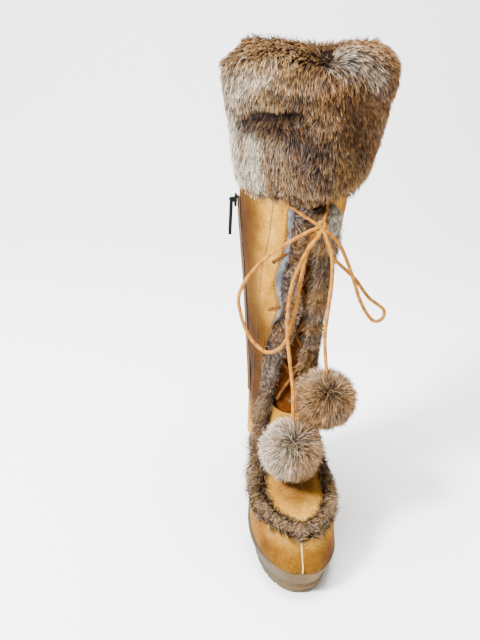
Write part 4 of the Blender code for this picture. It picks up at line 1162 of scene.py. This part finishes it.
turns = np.linspace(0, 2 * pi, CUFF_COLUMNS)
cuff_rows = np.linspace(0.07, 1.0, 64)
cuff_insets = PILE_DEPTH + 0.004 * (1 - ease(0.06, 0.16, cuff_rows))
outside = np.array([cuff_place(row, turns, inset) for row, inset in zip(cuff_rows, cuff_insets)])
outside[..., 2] -= (PILE_DEPTH * ease(0.85, 1.0, cuff_rows))[:, None]
inward = unit([0, LEG_AXIS, 0] - outside * [1, 1, 0])
for fold in PARTINGS:
    outside = outside + inward * (fold.depth * MM * nearness(outside, fold))[..., None]
collar = skin(LAST_SECTION, turns, WALL)
rim = np.array([outside[-1] * (1 - s) + (collar + [0, 0, 0.006 * (1 - s)]) * s + [0, 0, 0.003 * sin(pi * s)]
                for s in np.linspace(0.15, 1, 8)])
behind = np.array([skin(section_at(z), turns, -0.0008)
                   for z in np.linspace(COLLAR_HEIGHT, CUFF_BOTTOM + 0.014, 14)])
bm = draw_sheet(np.concatenate([outside, rim, behind, outside[:1]]), join=True)
dress(add_piece("cuff_under_fur", bm, under_fur), "fur_cuff")


def cuff_hair(name, low, high, count):
    """One band of the cuff's hair, between two shares of its rows from the bottom up."""
    band = np.concatenate([outside, rim[:5]])
    span = len(band) - 1
    band = band[int(low * span):int(high * span) + 1]
    where, out, row, column = sow(band, count)
    turn = (column / (CUFF_COLUMNS - 1) * 2 * pi + pi) % (2 * pi) - pi
    radial = np.stack([np.sin(turn), -np.cos(turn), 0 * turn], 1)
    out = out * np.sign((out * (radial + [0, 0, 0.4])).sum(-1, keepdims=True))
    x, y, z = where.T
    top = ease(COLLAR_HEIGHT - 0.014, COLLAR_HEIGHT + 0.010, z)
    front = ease(0.2, 0.9, np.cos(turn))
    notch = where - NOTCH_AT
    apart = np.linalg.norm(notch, axis=1)
    sway = 0.18 * np.sin(x * 120 + 3 * np.sin(z * 70)) + 0.12 * np.sin(z * 150 + x * 60)
    down = np.stack([sway + 0.45 * ease(0.0, 0.06, x) * front, 0.3 * sway, -np.ones(count)], 1)
    outward = radial * 0.8 + np.array([0, 0, 0.4])
    flow = down * (1 - top)[:, None] + outward * top[:, None]
    fan = np.exp(-(apart / 0.024) ** 2) * front
    flow = flow * (1 - 0.8 * fan)[:, None] + unit(notch) * (0.6 * fan)[:, None]
    flow += rng.normal(0, 0.16, (count, 3))
    bottom = ease(CUFF_BOTTOM + 0.026, CUFF_BOTTOM + 0.007, z)
    length = 0.0155 - 0.0035 * top - 0.004 * bottom
    patchy = 0.5 + 0.5 * np.sin(x * 95 + 2 * np.sin(z * 60)) * np.sin(z * 80 + 1.3)
    shares = [(BROWN, 0.75), (GOLDEN, 0.5 * patchy), (GREY, 0.45 * (1 - patchy)),
              (DARK, 0.45 * patchy)]
    shares += [(patch.pile, patch.weight * nearness(where, patch)) for patch in PATCHES]
    # Painted shade: the hair is darkened along the deeper creases, under the overhanging fold
    crease = sum(nearness(where, fold) for fold in PARTINGS if fold.depth > 2)
    tones = palette(*shares) * (1 - 0.5 * np.minimum(crease, 1))[:, None, None]
    grow_hair(name, where, out, lay_down(out, flow), length, 0.55 + 0.35 * top - 0.2 * bottom, tones,
              width=0.00062, tuft=9, pull=0.62)


cuff_hair("cuff_fur_lower", 0.0, 0.52, 36500)
cuff_hair("cuff_fur_upper", 0.52, 1.0, 36500)

# Side zip
# A coarse zip up the inner side under the cuff: woven tape, moulded teeth, a metal slider and a
# lacquered black pull tab that hangs from it.
# Woven polyester tape: fine ribs across it, 0.75 mm apart, and no gloss. A wave node draws 20 waves
# in 2 pi units of scale
woven_tape = new_finish("woven brown tape")
place = add_node(woven_tape, "ShaderNodeTexCoord").outputs["Object"]
weave = add_node(woven_tape, "ShaderNodeTexWave", {
    "Vector": place, "Scale": per_metre(0.748) * 2 * pi / 20, "Distortion": 0.5}, bands_direction="Z")
weave_tone = add_node(woven_tape, "ShaderNodeValToRGB", {"Fac": weave.outputs["Fac"]},
                      stops=((0.2, "3A2612"), (0.8, "6B4A26")))
weave_relief = add_node(woven_tape, "ShaderNodeBump", {
    "Height": weave.outputs["Fac"], "Strength": 0.4, "Distance": 0.0003})
tape_shader = add_node(woven_tape, "ShaderNodeBsdfPrincipled", {
    "Base Color": weave_tone.outputs["Color"], "Roughness": 0.85, "Normal": weave_relief.outputs["Normal"]})
add_node(woven_tape, "ShaderNodeOutputMaterial", {"Surface": tape_shader.outputs["BSDF"]})

# Black lacquer on cast metal, worn dull, with faint lighter rubs
black_lacquer = cloudy_finish("lacquered black metal", 4.17, 4.0, ((0.4, "040606"), (0.7, "0C1211")),
                              roughness=0.6, specular=0.12)
give_finish("zip_tape", woven_tape)
give_finish("zip_slider", black_lacquer)
give_finish("zip_pull_tab", black_lacquer)

# Lace
# Round cord of twisted suede, about 4 mm thick. It zigzags up the tongue through eyelets in the
# suede, and a bow at the throat's top leaves two loops and two long ends with pompoms.
# Routes given in millimetres
KNOT_AT = (12, -17, 344)
LOOP_LEFT = (
    (3.5, -19, 342), (-6, -19.5, 337), (-22, -17, 326), (-38, -9, 311), (-49, -3, 296),
    (-57, 1, 282), (-62, 4, 264), (-59, 3, 247), (-53, 0, 231), (-42, -3, 216),
    (-31, -8, 210), (-20, -13, 216), (-12.5, -15, 229), (-8, -15, 249), (-5.5, -15, 272),
    (-3, -15, 297), (0.5, -15, 320), (5, -14.5, 335),
)
END_LEFT = (
    (9.5, -21.7, 337.8), (0, -24, 325), (-8, -23, 306), (-13, -21, 286), (-14.5, -20.5, 268),
    (-14.5, -21, 246), (-12.5, -22, 226), (-9, -24, 204), (-5, -30, 177), (-4, -38.5, 145.8),
)
LOOP_RIGHT = (
    (18.5, -20, 339.5), (23, -18.5, 336), (30.3, -16.5, 328.1), (37.9, -14, 315.6),
    (44.4, -11, 302.7), (50.5, -8, 289.5), (54.7, -5, 280.3), (58.7, -2, 270.9), (63.5, 1, 261.9),
    (69.6, 4, 252.2), (76.7, 6.2, 243.7), (79.9, 7, 241.1), (84, 7.8, 240.3), (87.9, 8.5, 241.8),
    (90.6, 9.2, 244.9), (91.3, 9.8, 249), (89.9, 10.2, 252.9), (87.3, 10.4, 255.2),
    (81.5, 10.5, 259.2), (74.5, 10, 264), (68.1, 8.5, 270.7), (62.1, 6.5, 278.3),
    (56.1, 4, 285.8), (48, 0.5, 293.5), (38.5, -6, 302), (31, -11.5, 308.8), (22, -13.5, 320),
    (16.5, -14, 335.5),
)
END_RIGHT = (
    (14.6, -22.3, 338.2), (21, -24, 325), (25, -20.5, 308), (26.5, -18.5, 287), (25.5, -18.5, 259),
    (24.5, -19.5, 237), (26, -22, 216), (29.5, -22.5, 193.9),
)

# Suede cord: tan nap, lighter where it rubs; a browner, darker copy is painted shade where the cord lies in
# the throat and through the inner side's eyelets
suede_cord, shade_painted_cord = (
    cloudy_finish(name, 5.26, 5.0, ((0.28, dark), (0.5, middle), (0.72, light)),
                  roughness=0.85, specular=0.12, relief=(0.6, 0.0008))
    for name, dark, middle, light in (("twisted suede cord", "7A4812", "94601E", "B07A34"),
                                      ("shade-painted suede cord", "3A2008", "54300E", "704618")))


def lace_line(points, spacing=0.6 * LACE):
    """Even points along a smooth curve through a route, in metres."""
    points = np.asarray(points, float)
    keys = walked(points)
    at = np.linspace(0, keys[-1], max(int(keys[-1] / spacing), 4) + 1)
    return np.stack([smooth(keys, points[:, axis], at) for axis in range(3)], 1)


def lace_curve(name, lines, thickness=LACE, finish=suede_cord):
    """Round cord along one or more lines."""
    curve = bpy.data.curves.new(name, "CURVE")
    curve.dimensions = "3D"
    curve.bevel_depth = thickness / 2
    curve.bevel_resolution = 4
    curve.use_fill_caps = True
    for line in lines:
        spline = curve.splines.new("POLY")
        spline.points.add(len(line) - 1)
        spline.points.foreach_set("co", np.concatenate([line, np.ones((len(line), 1))], 1).ravel())
    curve.materials.append(finish)
    return add_object(name, curve)


FREE_LENGTHS = (
    ("lace_loop_left", LOOP_LEFT, "object"),
    ("lace_loop_right", LOOP_RIGHT, "object"),
    ("lace_end_left", END_LEFT, "fitting"),
    ("lace_end_right", END_RIGHT, "fitting"),
)
for name, route, far_end in FREE_LENGTHS:
    line = lace_line(np.array(route) * MM)
    lace = dress(lace_curve("suede_" + name, [line]), name)


def on_skin(height, across, inset):
    """A place on the upper's front, or inset behind it."""
    at = section_at(height)
    return skin(at, turn_to(at, across, inset), inset)


# The crossings over the tongue, each in two strands up to the knot
knot_centre = np.array(KNOT_AT) * MM
half = THROAT_WIDTH / 2 - LACE / 2 - 0.001
depth = LACE / 2 + GAP
runs = []
for first in (-1, 1):
    corners = [(first * (-1) ** k * half, z) for k, z in enumerate(EYELETS)]
    path = []
    for (x, z), (next_x, next_z) in zip(corners, corners[1:]):
        path += [on_skin(z + (next_z - z) * t, x + (next_x - x) * t, depth) for t in (0, 0.25, 0.5, 0.75)]
    x, z = corners[-1]
    path += [on_skin(z, x, depth), on_skin(z + 0.014, 0.35 * x + 0.0045, depth),
             on_skin(z + 0.026, 0.1 * x + 0.0045, -0.003)]
    path.append(knot_centre + [first * 0.001 - 0.002, 0.004, -0.0063])
    runs.append(lace_line(path))

# Short runs of cord over the suede, through the inner side's eyelets and from under the cuff to
# the knot: place across, height and how proud it stands, in millimetres
EYELET_RUNS = (
    ((-28, 301, -1.5), (-26.5, 303, 0.8), (-22, 307, 1.6), (-17, 311, 2.2), (-13, 313, 0.5)),
    ((-30, 248, -1.5), (-28.5, 249.5, 0.8), (-24, 252, 1.6), (-19, 254, 2.2), (-15, 254, 0.5)),
)
KNOT_RUNS = (((-21, 365, 0.5), (-18, 361, 2.4), (-9, 355, 6.0)), ((20, 366, 1.0), (18, 360, 4.0)))


def over_suede(stops):
    places = []
    for x, z, proud in stops:
        at = section_at(z * MM)
        places.append(skin(at, turn_to(at, x * MM), -proud * MM))
    return places


eyelet_runs = [lace_line(over_suede(stops)) for stops in EYELET_RUNS]
knot_runs = [lace_line(over_suede(stops) + [knot_centre]) for stops in KNOT_RUNS]
# The crossings and the runs at the eyelets take the darker cord: painted shade
for name, lines, thickness, finish in (("suede_lace_crossings", runs, LACE, shade_painted_cord),
                                       ("suede_lace_at_eyelets", eyelet_runs, 0.0024, shade_painted_cord),
                                       ("suede_lace_to_knot", knot_runs, 0.0032, suede_cord)):
    dress(lace_curve(name, lines, thickness, finish), "lace_crossings")


def run_in(place, sag=(0, 0, 0)):
    """A strand from the knot's middle to where a free length starts."""
    start = np.array(place) * MM
    return lace_line([knot_centre, (knot_centre + start) / 2 + sag, start])


# The knot: the cord wraps round the bow's middle, and each strand runs in under the wraps
turns = np.linspace(0, 2 * pi, 30)
strands = []
for tilt, shift, size in ((0.5, -0.0014, 1.0), (-0.35, 0.0016, 0.92), (1.1, 0.0002, 0.86)):
    ring = [0.0032 * np.cos(turns) + shift, 0.0040 * np.sin(turns), 0.0046 * np.sin(turns + tilt)]
    strands.append(knot_centre + np.stack(ring, 1) * size)
strands += [run_in(route[0], (0, -0.0012, 0.0006)) for route in (LOOP_LEFT, LOOP_RIGHT, END_LEFT, END_RIGHT)]
strands += [run_in(LOOP_LEFT[-1]), run_in(LOOP_RIGHT[-1])]
dress(lace_curve("suede_lace_knot", strands, 0.0034), "lace_knot")

# Pompoms
# Balls of rabbit skin gathered over a filling and tied to the ends of the lace, the hair
# falling from the top like a mop.
POMPOM = 0.030


def pompom(name, centre, lay_from, shares, count=14500):
    """A ball of under-fur with hair that falls away from the parting at lay_from."""
    centre = np.array(centre) * MM
    core = POMPOM * 0.74
    up_turns, round_turns = np.linspace(0, pi, 25), np.linspace(0, 2 * pi, 49)
    places = centre + core * np.stack([
        np.sin(up_turns)[:, None] * np.cos(round_turns), np.sin(up_turns)[:, None] * np.sin(round_turns),
        np.cos(up_turns)[:, None] * np.ones_like(round_turns)], -1)
    ball = dress(add_piece(name + "_core", draw_sheet(places, join=True), under_fur), name)
    out = unit(rng.normal(0, 1, (count, 3)))
    pole = unit(np.array(lay_from, float))
    lay = lay_down(out, -pole + [0, 0, -0.35] + rng.normal(0, 0.22, (count, 3)))
    parting = np.exp(-((1 - out @ pole) / 0.035))
    tones = palette(*shares(out)) * (1 - 0.3 * parting)[:, None, None]
    hair = grow_hair(name + "_fur", centre + out * core, out, lay, 0.0195 - 0.002 * parting, 0.50, tones,
                     width=0.00065, tuft=9, bend=0.30)
    return ball, hair


def left_shares(out):
    x, y, z = out.T
    golden = ease(-0.3, 0.35, x - 0.3 * z)
    cream = ease(0.4, -0.5, x)
    return ((CREAM, 0.4 + 1.0 * cream), (TAN, 0.8 + 4.0 * golden), (GREY, 1.2),
            (GOLDEN, 0.3 + 1.0 * golden), (BROWN, 0.5 + 0.8 * golden),
            (DARK, 0.25 + 0.8 * ease(-0.4, -0.9, z)))


def right_shares(out):
    x, y, z = out.T
    silver = np.exp(-(((x - 0.2) / 0.4) ** 2 + ((z - 0.2) / 0.35) ** 2))
    return ((BROWN, 1.0), (TAN, 0.8), (GOLDEN, 0.5 + 1.6 * ease(0.2, 0.9, z)),
            (CREAM, 1.0 * ease(0.6, 0.95, z)), (GREY, 0.2 + 1.0 * silver), (DARK, 0.5))


left = pompom("pompom_left", (-4, -42, 117), (0.07, -0.73, 0.66), left_shares)
right = pompom("pompom_right", (31, -21.5, 165), (0.04, -0.87, 0.44), right_shares)

# Floor and light
# A pale paper sweep: level under the boot, then rolling up behind it. Soft light from above and
# from the front left, as in a bright room.
SWEEP_START, SWEEP_ROUND, SWEEP_TOP, SWEEP_SIDE = 1.1, 1.2, 5.0, 4.0
arc = np.linspace(0, pi / 2, 16)
profile = np.concatenate([
    [[-3.0, 0.0]], np.stack([SWEEP_START + SWEEP_ROUND * np.sin(arc), SWEEP_ROUND * (1 - np.cos(arc))], 1),
    [[SWEEP_START + SWEEP_ROUND, SWEEP_TOP]]])
columns = np.linspace(-SWEEP_SIDE, SWEEP_SIDE, 3)
sheet = np.array([[(x, y, z) for x in columns] for y, z in profile])
# Matt white paper, with almost no gloss, so that the ground stays pale and even
paper = plain_finish("matt white paper", "F8F8F8", 0.9, 0.1)
add_piece("floor", draw_sheet(sheet, facing=(0, -1, 1)), paper)

world = bpy.data.worlds.new("studio")
bpy.context.scene.world = world
world.use_nodes = True
world.node_tree.nodes["Background"].inputs["Color"].default_value = (1, 1, 1, 1)
world.node_tree.nodes["Background"].inputs["Strength"].default_value = 0.62


def soft_light(name, at, target, size, power):
    """An area light that looks at target."""
    light = add_object(name, bpy.data.lights.new(name, "AREA"))
    light.data.size = size
    light.data.energy = power
    light.location = at
    light.rotation_euler = (Vector(target) - Vector(at)).to_track_quat("-Z", "Y").to_euler()


soft_light("overhead", (-0.2, 0.0, 2.3), (0, 0, 0.0), 1.3, 120)
soft_light("key", (-1.3, -0.8, 1.6), (0, 0, 0.2), 0.4, 175)
soft_light("backdrop", (0, 0.2, 2.6), (0, 2.3, 1.2), 1.2, 75)

bpy.context.view_layer.update()
